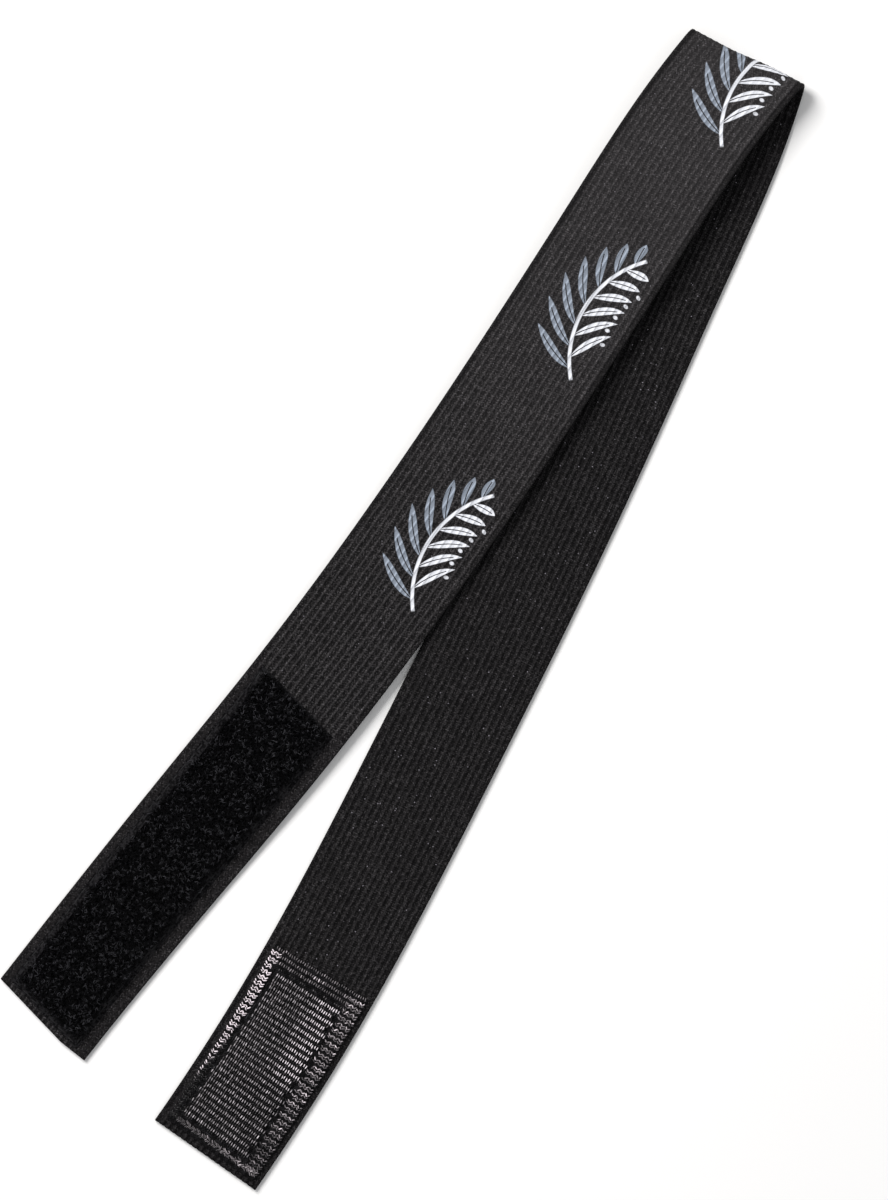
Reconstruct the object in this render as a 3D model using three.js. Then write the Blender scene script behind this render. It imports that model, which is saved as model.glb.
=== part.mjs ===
// Wig grip band: one strip of ribbed black elastic, folded once and lying flat on a surface.
// A patch of soft loop tape is sewn to the outer face at one free end, and a patch of hook tape
// to the inner face at the other, so that the band closes round the head.
//
// Millimetres and degrees. +X points along the folded band to the fold, +Z is up, and the origin
// is the bottom centre of the band as it lies.
//
// The strip has its own coordinates: s along it from the free end of the upper leg, w across it,
// and h through it, from the inner face (minus) to the outer face (plus). place() lays them out.

import * as THREE from 'three';

// Elastic strip
const bandWidth = 30;
const bandThickness = 1.2;
const upperLeg = 289;
const lowerLeg = 296.5;
const ribPitch = 1.65;
const ribDepth = 0.2;
const plainEdge = 1.8;

// Free end of the upper leg: cut askew, and drawn in by the patch sewn on it
const upperCutSkew = 7.8;
const endNarrowing = 1.5;
const narrowingRun = 85;

// Fold and the way the strip lies
const foldGap = 4.6;
const foldSkew = 12;
const layTurn = 3;
const legGap = 0.3;
const stepDownRun = 60;

// Each leg turns in the plane as it leaves the fold. share: of the leg's length. turn: degrees.
const upperTurns = [
  { share: 0, turn: 0 },
  { share: 0.1, turn: -6.8 },
  { share: 0.25, turn: -7.4 },
  { share: 0.5, turn: -4.8 },
  { share: 0.75, turn: -0.7 },
  { share: 1, turn: -2 },
];
const lowerTurns = [
  { share: 0, turn: 0 },
  { share: 0.1, turn: 7.5 },
  { share: 0.25, turn: 7.8 },
  { share: 0.5, turn: 10.1 },
  { share: 0.75, turn: 11.8 },
  { share: 1, turn: 18.8 },
];

// Loop tape, on the outer face of the upper leg
const loopTapeLength = 98.5;
const loopTapeWidth = 24.5;
const loopTapeThickness = 1;
const loopTapeInset = 1.5;
const loopTapeShift = 0.5;
const pileHeight = 1.2;
const pileEndMargin = 1;
const pileLeftMargin = 1.2;
const pileRightMargin = 2.3;

// Hook tape, on the inner face of the lower leg
const hookTapeLength = 50;
const hookTapeWidth = 25.4;
const hookTapeThickness = 1;
const hookTapeInset = 2.2;
const hookTapeShift = -0.3;
const hookHeight = 1;
const hookFoldMargin = 4.1;
const hookEndMargin = 3.2;
const hookLeftMargin = 2.7;
const hookRightMargin = 4.1;

// A sewn tape keeps this much clear of the elastic, and a raised field slopes over this much
const sewnGap = 0.3;
const fieldSlope = 0.5;

// How finely the shapes are divided
const legStep = 16;
const curlStep = 6.5;
const curlRun = 32;
const noseSteps = 10;
const tapeStep = 12;
const lineStep = 1;

const { degToRad, smoothstep } = THREE.MathUtils;

const noseRadius = (foldGap + bandThickness) / 2;
const skewCos = Math.cos(degToRad(foldSkew));
const skewSin = Math.sin(degToRad(foldSkew));
const halfNoseArc = (Math.PI * noseRadius) / 2;
const halfNose = halfNoseArc / skewCos;
const foldStation = upperLeg + halfNose;
const stripLength = foldStation + halfNose + lowerLeg;
const halfWidth = bandWidth / 2;

// The centre line of a leg, seen from above: for a run from the fold it gives the point, in axes
// along and across the leg as it leaves the fold, and the turn so far in radians.
function legLine(table, length) {
  const shares = new Float64Array(table.map((row) => row.share));
  const turns = new Float64Array(table.map((row) => degToRad(row.turn)));
  const spline = new THREE.CubicInterpolant(shares, turns, 1);
  const turnAt = (run) => spline.evaluate(Math.min(run / length, 1))[0];

  const steps = Math.ceil(length / lineStep) + 1;
  const line = [new THREE.Vector2()];
  for (let i = 1; i <= steps; i++) {
    const turn = turnAt((i - 0.5) * lineStep);
    line.push(new THREE.Vector2(Math.cos(turn), Math.sin(turn)).multiplyScalar(lineStep).add(line[i - 1]));
  }

  return (run) => {
    if (run <= 0) return { point: new THREE.Vector2(run, 0), turn: 0 };
    const i = Math.min(Math.floor(run / lineStep), steps - 1);
    const point = line[i].clone().lerp(line[i + 1], run / lineStep - i);
    return { point, turn: turnAt(run) };
  };
}

// Both legs leave the fold at the same angle to its normal, to opposite sides. along and across
// are the leg's axes at the fold.
const legs = {
  upper: {
    lineAt: legLine(upperTurns, upperLeg),
    along: new THREE.Vector2(-skewCos, skewSin),
    across: new THREE.Vector2(skewSin, skewCos),
  },
  lower: {
    lineAt: legLine(lowerTurns, lowerLeg),
    along: new THREE.Vector2(-skewCos, -skewSin),
    across: new THREE.Vector2(-skewSin, skewCos),
  },
};

// Distance from the fold at which the legs no longer lie over each other
function partingRun() {
  const seenFromAbove = (leg, run) => {
    const { x, y } = leg.lineAt(run).point;
    return leg.along.clone().multiplyScalar(x).addScaledVector(leg.across, y);
  };
  const apart = (run) => seenFromAbove(legs.upper, run).distanceTo(seenFromAbove(legs.lower, run));
  let run = 0;
  while (run < upperLeg && apart(run) < bandWidth) run += lineStep;
  return run;
}

const stepDownStart = partingRun() + bandWidth * skewSin;

// Height of the upper leg's middle surface: high at the fold, down to rest on the lower leg, and
// past that leg's edge down to the ground
function upperHeight(run) {
  const settled = bandThickness + legGap;
  const lift = settled + (2 * noseRadius - settled) * (1 - smoothstep(run, 0, stepDownStart));
  return bandThickness / 2 + lift * (1 - smoothstep(run, stepDownStart, stepDownStart + stepDownRun));
}

// Side view of the strip's middle surface, for a distance from the middle of the fold. up is the
// direction of the outer face there.
function profile(distance) {
  if (distance > halfNoseArc) {
    const point = new THREE.Vector2(halfNoseArc - distance, bandThickness / 2);
    return { point, up: new THREE.Vector2(0, -1) };
  }
  if (distance > -halfNoseArc) {
    const up = new THREE.Vector2(1, 0).rotateAround(new THREE.Vector2(), -distance / noseRadius);
    const centre = new THREE.Vector2(0, bandThickness / 2 + noseRadius);
    return { point: centre.addScaledVector(up, noseRadius), up };
  }
  const run = -halfNoseArc - distance;
  const rise = upperHeight(run + lineStep) - upperHeight(run);
  const up = new THREE.Vector2(rise, lineStep).normalize();
  return { point: new THREE.Vector2(-run, upperHeight(run)), up };
}

// Lays a point of the strip in space: bent round the fold, then each leg turned in the plane
function place(s, w, h) {
  const inward = smoothstep(s, 0, narrowingRun);
  const across = w * (1 - (endNarrowing / bandWidth) * (1 - inward));
  const fromFold = s - foldStation;
  const { point, up } = profile(fromFold * skewCos + across * skewSin);
  const position = new THREE.Vector2(point.x + h * up.x, across * skewCos - fromFold * skewSin);

  const leg = fromFold < 0 ? legs.upper : legs.lower;
  const run = Math.abs(fromFold) - halfNose;
  const line = leg.lineAt(run);
  position.addScaledVector(leg.along, line.point.x - across * Math.sin(line.turn) - run);
  position.addScaledVector(leg.across, line.point.y + across * Math.cos(line.turn) - across);
  return new THREE.Vector3(position.x, position.y, point.y + h * up.y);
}

// A closed solid swept along the strip. Each station has its place s on the centre line, its skew
// (how far s changes for each unit of w) and its ring of [w, h] points, counter-clockwise.
function sweepSolid(stations) {
  const size = stations[0].ring.length;
  const placed = stations.map(({ s, skew, ring }) => ring.map(([w, h]) => place(s + skew * w, w, h)));
  const vertices = placed.flat().flatMap((point) => point.toArray());
  const indices = [];
  for (let i = 0; i < stations.length - 1; i++) {
    for (let j = 0; j < size; j++) {
      const next = (j + 1) % size;
      const [a, b, c, d] = [i * size + j, i * size + next, (i + 1) * size + next, (i + 1) * size + j];
      indices.push(a, b, c, a, c, d);
    }
  }

  const last = (stations.length - 1) * size;
  const contour = stations[0].ring.map(([w, h]) => new THREE.Vector2(w, h));
  for (const [a, b, c] of THREE.ShapeUtils.triangulateShape(contour, [])) {
    indices.push(a, c, b, last + a, last + b, last + c);
  }

  const geometry = new THREE.BufferGeometry();
  geometry.setAttribute('position', new THREE.Float32BufferAttribute(vertices, 3));
  geometry.setIndex(indices);
  geometry.computeVertexNormals();
  return geometry;
}

// Cross-section of the elastic: ribs along both faces, between two plain edges
function bandRing() {
  const ribs = Math.max(1, Math.round((bandWidth - 2 * plainEdge) / ribPitch));
  const halfRib = (bandWidth - 2 * plainEdge) / ribs / 2;
  const face = bandThickness / 2;
  const points = [[-halfWidth, face]];
  for (let i = 0; i <= 2 * ribs; i++) {
    const valley = i % 2 === 1;
    points.push([-halfWidth + plainEdge + i * halfRib, valley ? face - ribDepth : face]);
  }
  points.push([halfWidth, face]);
  return [...points.map(([w, h]) => [w, -h]), ...points.reverse()];
}

// Runs along a leg from the fold, close together where the leg turns most
function legRuns(length) {
  const runs = [];
  const curls = Math.round(curlRun / curlStep);
  for (let i = 1; i <= curls; i++) runs.push((curlRun * i) / curls);
  const steps = Math.round((length - curlRun) / legStep);
  for (let i = 1; i <= steps; i++) runs.push(curlRun + ((length - curlRun) * i) / steps);
  return runs;
}

// The whole strip. Its stations lie parallel to the fold line near the fold, and turn to each
// end's cut on the way there.
function elasticBand() {
  const ring = bandRing();
  const foldLine = -Math.tan(degToRad(foldSkew));
  const skewAt = (run, length, cut) => THREE.MathUtils.lerp(foldLine, cut, smoothstep(run, curlRun, length));

  const upper = legRuns(upperLeg).reverse().map((run) => ({
    s: upperLeg - run,
    skew: skewAt(run, upperLeg, Math.tan(degToRad(upperCutSkew))),
    ring,
  }));
  const nose = Array.from({ length: noseSteps + 1 }, (_, i) => ({
    s: upperLeg + (2 * halfNose * i) / noseSteps,
    skew: foldLine,
    ring,
  }));
  const lower = legRuns(lowerLeg).map((run) => ({
    s: stripLength - lowerLeg + run,
    skew: skewAt(run, lowerLeg, 0),
    ring,
  }));
  return sweepSolid([...upper, ...nose, ...lower]);
}

// A tape sewn flat on one face of the strip, with a field that stands up from its backing.
// side is 1 on the outer face and -1 on the inner face, and start is where the tape begins.
function sewnTape({ start, length, width, shift, thickness, height, skew, side, margins }) {
  const under = bandThickness / 2 + sewnGap;
  const top = under + thickness;
  const left = shift + width / 2;
  const right = shift - width / 2;
  const fieldLeft = left - margins.left;
  const fieldRight = right + margins.right;

  const ringAt = (raised) => {
    const field = top + (raised ? height : 0);
    const ring = [
      [right, under], [left, under], [left, top], [fieldLeft + fieldSlope / 2, top],
      [fieldLeft - fieldSlope / 2, field], [fieldRight + fieldSlope / 2, field],
      [fieldRight - fieldSlope / 2, top], [right, top],
    ].map(([w, h]) => [w, side * h]);
    return side > 0 ? ring : ring.reverse();
  };

  const fieldStart = start + margins.start;
  const fieldEnd = start + length - margins.end;
  const fieldRun = fieldEnd - fieldStart - fieldSlope;
  const steps = Math.ceil(fieldRun / tapeStep);
  const station = (s, raised) => ({ s, skew, ring: ringAt(raised) });
  const raised = Array.from({ length: steps + 1 }, (_, i) =>
    station(fieldStart + fieldSlope / 2 + (fieldRun * i) / steps, true));
  return sweepSolid([
    station(start, false),
    station(fieldStart - fieldSlope / 2, false),
    ...raised,
    station(fieldEnd + fieldSlope / 2, false),
    station(start + length, false),
  ]);
}

function loopTape() {
  return sewnTape({
    start: loopTapeInset,
    length: loopTapeLength,
    width: loopTapeWidth,
    shift: loopTapeShift,
    thickness: loopTapeThickness,
    height: pileHeight,
    skew: Math.tan(degToRad(upperCutSkew)),
    side: 1,
    margins: { left: pileLeftMargin, right: pileRightMargin, start: pileEndMargin, end: pileEndMargin },
  });
}

function hookTape() {
  return sewnTape({
    start: stripLength - hookTapeInset - hookTapeLength,
    length: hookTapeLength,
    width: hookTapeWidth,
    shift: hookTapeShift,
    thickness: hookTapeThickness,
    height: hookHeight,
    skew: 0,
    side: -1,
    margins: { left: hookLeftMargin, right: hookRightMargin, start: hookFoldMargin, end: hookEndMargin },
  });
}

function piece(name, geometry, color, roughness) {
  const mesh = new THREE.Mesh(geometry, new THREE.MeshStandardMaterial({ color, roughness, metalness: 0 }));
  mesh.name = name;
  return mesh;
}

const laidBand = new THREE.Group();
laidBand.add(
  piece('elastic_band', elasticBand(), 0x2c2a2c, 0.8),
  piece('loop_tape', loopTape(), 0x0d0c0e, 1),
  piece('hook_tape', hookTape(), 0x3d3c40, 0.45),
);
laidBand.rotation.z = degToRad(layTurn);

// The origin goes to the bottom centre of the whole
const box = new THREE.Box3().setFromObject(laidBand, true);
const wigGripBand = new THREE.Group();
wigGripBand.add(laidBand);
laidBand.position.set(-(box.min.x + box.max.x) / 2, -(box.min.y + box.max.y) / 2, -box.min.z);

export default wigGripBand;
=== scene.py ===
"""Dresses the wig grip band: its ribbed elastic, the two fastener patches, their stitching, and the set.

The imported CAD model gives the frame. Every piece is laid out in the strip's own coordinates, in
millimetres: along it from the free end of the upper leg, across it, and through it, from the inner
face (minus) to the outer face (plus). On a patch, run is the way along it from its own start.
Meshes are made in metres, in the row frame.
"""

import logging
import math
from dataclasses import dataclass, replace
from enum import Enum
from functools import cache, cached_property
from typing import ClassVar, NamedTuple

import bpy
import numpy as np
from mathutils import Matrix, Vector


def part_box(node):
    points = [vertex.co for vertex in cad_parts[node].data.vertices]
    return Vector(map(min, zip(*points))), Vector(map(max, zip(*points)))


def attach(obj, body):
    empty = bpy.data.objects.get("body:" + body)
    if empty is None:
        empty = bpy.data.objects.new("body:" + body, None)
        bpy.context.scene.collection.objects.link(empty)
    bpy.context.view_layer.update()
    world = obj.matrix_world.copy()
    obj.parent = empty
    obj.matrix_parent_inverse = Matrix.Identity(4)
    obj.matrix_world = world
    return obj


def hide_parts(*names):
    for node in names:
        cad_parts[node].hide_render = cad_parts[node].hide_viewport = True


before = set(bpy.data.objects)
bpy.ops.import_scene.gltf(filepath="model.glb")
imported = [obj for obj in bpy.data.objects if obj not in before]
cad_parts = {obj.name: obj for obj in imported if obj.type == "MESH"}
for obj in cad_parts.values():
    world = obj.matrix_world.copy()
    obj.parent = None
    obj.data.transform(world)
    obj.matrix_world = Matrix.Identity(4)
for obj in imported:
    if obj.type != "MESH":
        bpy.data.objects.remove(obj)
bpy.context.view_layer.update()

LOG = logging.getLogger("wig_grip_band")
MM = 0.001
BODY = "root"
Colour = tuple[float, float, float]
Faces = list[tuple[int, ...]]
Shape = tuple[np.ndarray, Faces]
Turns = tuple[tuple[float, float], ...]


class Face(Enum):
    """The two faces of the strip: the value is the sign of the height through it."""

    OUTER = 1
    INNER = -1


class Slot(Enum):
    """The finishes that the record names."""

    ELASTIC = "elastic"
    LOOP_PILE = "loop_pile"
    HOOK_NYLON = "hook_nylon"


class Socket(Enum):
    """What an input of a geometry tree carries."""

    NUMBER = "NodeSocketFloat"
    COUNT = "NodeSocketInt"
    OBJECT = "NodeSocketObject"
    MATERIAL = "NodeSocketMaterial"
    GEOMETRY = "NodeSocketGeometry"


def smooth(value: np.ndarray, low: float, high: float) -> np.ndarray:
    """Eases from 0 at low to 1 at high. low may be the greater one, and then it falls."""
    share = np.clip((value - low) / (high - low), 0.0, 1.0)
    return share * share * (3.0 - 2.0 * share)


# Node trees


class Num:
    """A socket that carries a number. Python operators on it add Math nodes to its tree."""

    def __init__(self, sheet: "NodeSheet", socket: bpy.types.NodeSocket) -> None:
        """Wraps a socket of the sheet's tree."""
        self.sheet = sheet
        self.socket = socket

    def _math(self, operation: str, *others: "Num | float") -> "Num":
        """Adds a Math node with this number as its first value."""
        return self.sheet.math(operation, self, *others)

    def __add__(self, other: "Num | float") -> "Num":
        """self + other."""
        return self._math("ADD", other)

    def __radd__(self, other: float) -> "Num":
        """other + self."""
        return self._math("ADD", other)

    def __sub__(self, other: "Num | float") -> "Num":
        """self - other."""
        return self._math("SUBTRACT", other)

    def __rsub__(self, other: float) -> "Num":
        """other - self."""
        return self.sheet.math("SUBTRACT", other, self)

    def __mul__(self, other: "Num | float") -> "Num":
        """self * other."""
        return self._math("MULTIPLY", other)

    def __rmul__(self, other: float) -> "Num":
        """other * self."""
        return self._math("MULTIPLY", other)

    def __truediv__(self, other: "Num | float") -> "Num":
        """self / other."""
        return self._math("DIVIDE", other)

    def __rtruediv__(self, other: float) -> "Num":
        """other / self."""
        return self.sheet.math("DIVIDE", other, self)

    def __gt__(self, other: "Num | float") -> "Num":
        """1 where self is greater than other, else 0."""
        return self._math("GREATER_THAN", other)

    def __lt__(self, other: "Num | float") -> "Num":
        """1 where self is less than other, else 0."""
        return self._math("LESS_THAN", other)

    def __abs__(self) -> "Num":
        """The number without its sign."""
        return self._math("ABSOLUTE")

    def wave(self) -> "Num":
        """Cosine of whole turns: 1 at every whole number and -1 halfway."""
        return (self * math.tau)._math("COSINE")

    def floor(self) -> "Num":
        """The whole number below."""
        return self._math("FLOOR")

    def fract(self) -> "Num":
        """The part after the decimal point."""
        return self._math("FRACT")

    def root(self) -> "Num":
        """The square root."""
        return self._math("SQRT")

    def angle_to(self, across: "Num") -> "Num":
        """The angle of the point (across, self), in radians."""
        return self._math("ARCTAN2", across)

    def least(self, other: "Num | float") -> "Num":
        """The smaller of the two."""
        return self._math("MINIMUM", other)

    def most(self, other: "Num | float") -> "Num":
        """The greater of the two."""
        return self._math("MAXIMUM", other)

    def step(self, low: float, high: float) -> "Num":
        """Eases between two values of the number.

        Args:
            low: where the result is 0.
            high: where the result is 1. It may be the smaller one, and then the result falls.

        Returns:
            The eased number, from 0 to 1.
        """
        if low > high:
            return 1.0 - self.step(high, low)
        ranged = self.sheet.node(
            "ShaderNodeMapRange",
            {"interpolation_type": "SMOOTHSTEP"},
            {"Value": self, "From Min": low, "From Max": high},
        )
        return Num(self.sheet, ranged.outputs["Result"])


class NodeSheet:
    """A shader or geometry node tree that is being written."""

    def __init__(self, tree: bpy.types.NodeTree) -> None:
        """Starts on an empty tree."""
        self.tree = tree

    def node(self, kind: str, settings: dict | None = None, inputs: dict | None = None) -> bpy.types.Node:
        """Adds a node.

        Args:
            kind: the node's Blender type.
            settings: its own properties, set first.
            inputs: for a socket's name or number, the value or the link that it takes.

        Returns:
            The new node.
        """
        made = self.tree.nodes.new(kind)
        for name, value in (settings or {}).items():
            setattr(made, name, value)
        for key, value in (inputs or {}).items():
            self._feed(made.inputs[key], value)
        return made

    def _feed(self, socket: bpy.types.NodeSocket, value: object) -> None:
        """Links a socket, or sets its value.

        Args:
            socket: the input that is fed.
            value: a number or a socket to link, or else a plain value.
        """
        if isinstance(value, Num):
            self.tree.links.new(value.socket, socket)
        elif isinstance(value, bpy.types.NodeSocket):
            self.tree.links.new(value, socket)
        elif socket.type == "RGBA":
            socket.default_value = (*value, 1.0)
        else:
            socket.default_value = value

    def math(self, operation: str, *values: "Num | float") -> Num:
        """Adds a Math node on the values and returns its result."""
        made = self.node("ShaderNodeMath", {"operation": operation}, dict(enumerate(values)))
        return Num(self, made.outputs[0])

    def vector(self, x: Num | float, y: Num | float, z: Num | float = 0.0) -> bpy.types.NodeSocket:
        """Joins three numbers into a vector."""
        return self.node("ShaderNodeCombineXYZ", {}, {0: x, 1: y, 2: z}).outputs[0]

    def mix(self, share: Num, first: object, second: object) -> bpy.types.NodeSocket:
        """Mixes two colours: first where share is 0 and second where it is 1."""
        made = self.node("ShaderNodeMix", {"data_type": "RGBA"}, {0: share, 6: first, 7: second})
        return made.outputs[2]

    def attribute(self, name: str) -> Num:
        """Reads a number that a shader finds on the mesh."""
        made = self.node("ShaderNodeAttribute", {"attribute_name": name})
        return Num(self, made.outputs["Fac"])

    def noise(self, vector: object, scale: float, detail: float = 2.0) -> Num:
        """Soft noise from 0 to 1 over a vector."""
        made = self.node("ShaderNodeTexNoise", {}, {"Vector": vector, "Scale": scale, "Detail": detail})
        return Num(self, made.outputs[0])

    def chance(self, x: Num, y: Num, z: Num | float = 0.0) -> Num:
        """An even random number for each set of whole numbers."""
        made = self.node("ShaderNodeTexWhiteNoise", {}, {"Vector": self.vector(x, y, z)})
        return Num(self, made.outputs["Value"])


class ShaderSheet(NodeSheet):
    """A material's tree, with one Principled shader."""

    def __init__(self, name: str, constants: dict[str, float | Colour]) -> None:
        """Starts a material.

        Args:
            name: the material's name.
            constants: the shader's values that are the same all over the surface.
        """
        self.material = bpy.data.materials.new(name)
        self.material.use_nodes = True
        super().__init__(self.material.node_tree)
        self.tree.nodes.clear()
        self.shader = self.node("ShaderNodeBsdfPrincipled", {}, constants)
        self.node("ShaderNodeOutputMaterial", {}, {"Surface": self.shader.outputs[0]})

    def finish(
        self, colour: object, roughness: Num | float, height: Num | None = None, depth: float = 0.0
    ) -> None:
        """Links what varies over the surface.

        Args:
            colour: the base colour.
            roughness: the roughness.
            height: from 0 to 1, for the bump.
            depth: the bump's depth in metres.
        """
        self._feed(self.shader.inputs["Base Color"], colour)
        self._feed(self.shader.inputs["Roughness"], roughness)
        if height is not None:
            bump = self.node("ShaderNodeBump", {}, {"Height": height, "Distance": depth, "Strength": 1.0})
            self._feed(self.shader.inputs["Normal"], bump.outputs[0])


class GeometrySheet(NodeSheet):
    """A geometry node tree with named inputs, which ends in Realize Instances and Set Material."""

    def __init__(self, name: str, inputs: dict[str, Socket]) -> None:
        """Starts a tree.

        Args:
            name: the tree's name.
            inputs: for each input's name, what it carries. Geometry and Material come by themselves.
        """
        super().__init__(bpy.data.node_groups.new(name, "GeometryNodeTree"))
        self.identifiers: dict[str, str] = {}
        sockets = self.tree.interface
        for label, kind in {"Geometry": Socket.GEOMETRY, **inputs, "Material": Socket.MATERIAL}.items():
            made = sockets.new_socket(name=label, in_out="INPUT", socket_type=kind.value)
            self.identifiers[label] = made.identifier
        sockets.new_socket(name="Geometry", in_out="OUTPUT", socket_type=Socket.GEOMETRY.value)
        self.entry = self.node("NodeGroupInput")

    def given(self, label: str) -> Num:
        """One of the tree's own inputs."""
        return Num(self, self.entry.outputs[label])

    def named(self, name: str, kind: str = "FLOAT") -> Num:
        """Reads an attribute of the geometry, a number or a vector."""
        made = self.node("GeometryNodeInputNamedAttribute", {"data_type": kind}, {"Name": name})
        return Num(self, made.outputs[0])

    def spread(self, most: Num, seed: Num) -> Num:
        """A random number for each point, from -most to most."""
        inputs = {2: most * -1.0, 3: most, "Seed": seed}
        return Num(self, self.node("FunctionNodeRandomValue", {"data_type": "FLOAT"}, inputs).outputs[1])

    def close(self, geometry: object) -> None:
        """Ends the tree: makes instances real and sets the material.

        Args:
            geometry: the socket that carries what the tree has made.
        """
        real = self.node("GeometryNodeRealizeInstances", {}, {"Geometry": geometry})
        dressed = self.node(
            "GeometryNodeSetMaterial", {}, {"Geometry": real.outputs[0], "Material": self.given("Material")}
        )
        self.node("NodeGroupOutput", {}, {"Geometry": dressed.outputs[0]})

    def apply(self, piece: bpy.types.Object, values: dict[str, object]) -> bpy.types.Object:
        """Runs the tree on an object and keeps the result as its plain mesh.

        Args:
            piece: the object that the tree starts from.
            values: for each named input, its value.

        Returns:
            The same object, with the new mesh and no modifier.
        """
        modifier = piece.modifiers.new(self.tree.name, "NODES")
        modifier.node_group = self.tree
        for label, value in values.items():
            modifier[self.identifiers[label]] = value
        depsgraph = bpy.context.evaluated_depsgraph_get()
        made = bpy.data.meshes.new_from_object(
            piece.evaluated_get(depsgraph), preserve_all_data_layers=True, depsgraph=depsgraph
        )
        piece.modifiers.remove(modifier)
        spare = piece.data
        piece.data = made
        bpy.data.meshes.remove(spare)
        made.name = piece.name
        made.shade_smooth()
        return piece


# Meshes


def mesh_object(name: str, vertices: np.ndarray, faces: Faces) -> bpy.types.Object:
    """Makes a smooth-shaded object at the origin.

    Args:
        name: the object's name.
        vertices: its corners in metres.
        faces: the corners of each face, by number.

    Returns:
        The object, in the scene.
    """
    mesh = bpy.data.meshes.new(name)
    mesh.from_pydata(vertices.tolist(), [], faces)
    mesh.shade_smooth()
    made = bpy.data.objects.new(name, mesh)
    bpy.context.scene.collection.objects.link(made)
    return made


def give_numbers(piece: bpy.types.Object, name: str, values: np.ndarray) -> None:
    """Stores an attribute of the vertices.

    Args:
        piece: the object.
        name: the attribute's name.
        values: a number, or a vector of three, for each vertex.
    """
    is_vector = values.ndim == 2
    made = piece.data.attributes.new(name, "FLOAT_VECTOR" if is_vector else "FLOAT", "POINT")
    made.data.foreach_set("vector" if is_vector else "value", values.astype(np.float32).ravel())


def band_of_faces(rings: int, size: int) -> Faces:
    """Faces that join rings of corners, each to the next.

    Args:
        rings: how many rings there are.
        size: how many corners each has.

    Returns:
        The faces, without the caps at both ends.
    """
    faces: Faces = []
    for i in range(rings - 1):
        for j in range(size):
            after = (j + 1) % size
            faces.append((i * size + j, i * size + after, (i + 1) * size + after, (i + 1) * size + j))
    return faces


def tube(path: np.ndarray, radius: float | np.ndarray, sides: int) -> Shape:
    """A closed tube along a path.

    Args:
        path: its points.
        radius: its radius, the same all along or one for each point.
        sides: how many sides it has.

    Returns:
        The vertices and the faces.
    """
    radii = np.broadcast_to(radius, len(path))
    ahead = np.gradient(path, axis=0)
    ahead /= np.linalg.norm(ahead, axis=1, keepdims=True)
    not_along_it = [0.31, 0.87, 0.39]
    side = np.cross(ahead[0], not_along_it)
    rings = []
    for point, forward, reach in zip(path, ahead, radii):
        side = side - forward * (side @ forward)
        side /= np.linalg.norm(side)
        third = np.cross(forward, side)
        turns = np.arange(sides) * math.tau / sides
        rings.append(point + reach * (np.outer(np.cos(turns), side) + np.outer(np.sin(turns), third)))
    last = (len(path) - 1) * sides
    faces = band_of_faces(len(path), sides)
    faces.append(tuple(range(sides))[::-1])
    faces.append(tuple(range(last, last + sides)))
    return np.vstack(rings), faces


def capsule(length: float, radius: float, sides: int, dip: float) -> Shape:
    """A short thick thread along X: its middle on the origin, its ends dipping under.

    Args:
        length: from end to end.
        radius: of its middle. The ends are thinner.
        sides: how many sides it has.
        dip: how far the ends dip.

    Returns:
        The vertices and the faces.
    """
    share = np.array([-1.0, -0.82, -0.4, 0.0, 0.4, 0.82, 1.0])
    plumpness = np.array([0.45, 0.85, 1.0, 1.0, 1.0, 0.85, 0.45])
    path = np.column_stack([share * length / 2, np.zeros(len(share)), -dip * share**4])
    return tube(path, radius * plumpness, sides)


# The way the strip lies


class LegLine:
    """The centre line of a leg seen from above, in axes along and across it as it leaves the fold."""

    STEP: ClassVar[float] = 1.0

    def __init__(self, turns: Turns, length: float) -> None:
        """Adds up the line from its turns.

        Args:
            turns: for shares of the length, the turn in the plane in degrees.
            length: the leg's length.
        """
        shares, degrees = np.array(turns, float).T
        self.shares = shares
        self.turns = np.radians(degrees)
        self.length = length
        steps = math.ceil(length / self.STEP) + 1
        turn = self.turn_at((np.arange(steps) + 0.5) * self.STEP)
        moves = np.column_stack([np.cos(turn), np.sin(turn)]) * self.STEP
        self.points = np.vstack([np.zeros(2), np.cumsum(moves, axis=0)])

    def turn_at(self, run: np.ndarray) -> np.ndarray:
        """The turn in the plane: a cubic through the table, straight at its ends.

        Args:
            run: the way along the leg from the fold.

        Returns:
            The turn in radians.
        """
        share = np.clip(run / self.length, 0.0, 1.0)
        after = np.clip(np.searchsorted(self.shares, share, side="right"), 1, len(self.shares) - 1)
        before = after - 1
        first = before == 0
        last = after == len(self.shares) - 1
        behind = np.where(first, after, before - 1)
        beyond = np.where(last, before, np.minimum(after + 1, len(self.shares) - 1))
        start, end = self.shares[before], self.shares[after]
        half = (end - start) / 2
        back = half / (start - self.shares[behind])
        on = half / (self.shares[beyond] - end)
        p = (share - start) / (end - start)
        return (
            self.turns[behind] * (-back * p**3 + 2 * back * p**2 - back * p)
            + self.turns[before] * ((1 + back) * p**3 + (-1.5 - 2 * back) * p**2 + (back - 0.5) * p + 1)
            + self.turns[after] * ((-1 - on) * p**3 + (1.5 + on) * p**2 + 0.5 * p)
            + self.turns[beyond] * (on * p**3 - on * p**2)
        )

    def at(self, run: np.ndarray) -> tuple[np.ndarray, np.ndarray, np.ndarray]:
        """The line at a run from the fold. Before the fold it runs straight back.

        Args:
            run: the way along the leg from the fold.

        Returns:
            The point's two coordinates and the turn.
        """
        ahead = np.maximum(run, 0.0)
        marks = np.arange(len(self.points)) * self.STEP
        x = np.interp(ahead, marks, self.points[:, 0])
        y = np.interp(ahead, marks, self.points[:, 1])
        on_leg = run > 0
        turn = np.where(on_leg, self.turn_at(ahead), 0.0)
        return np.where(on_leg, x, run), np.where(on_leg, y, 0.0), turn


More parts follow.
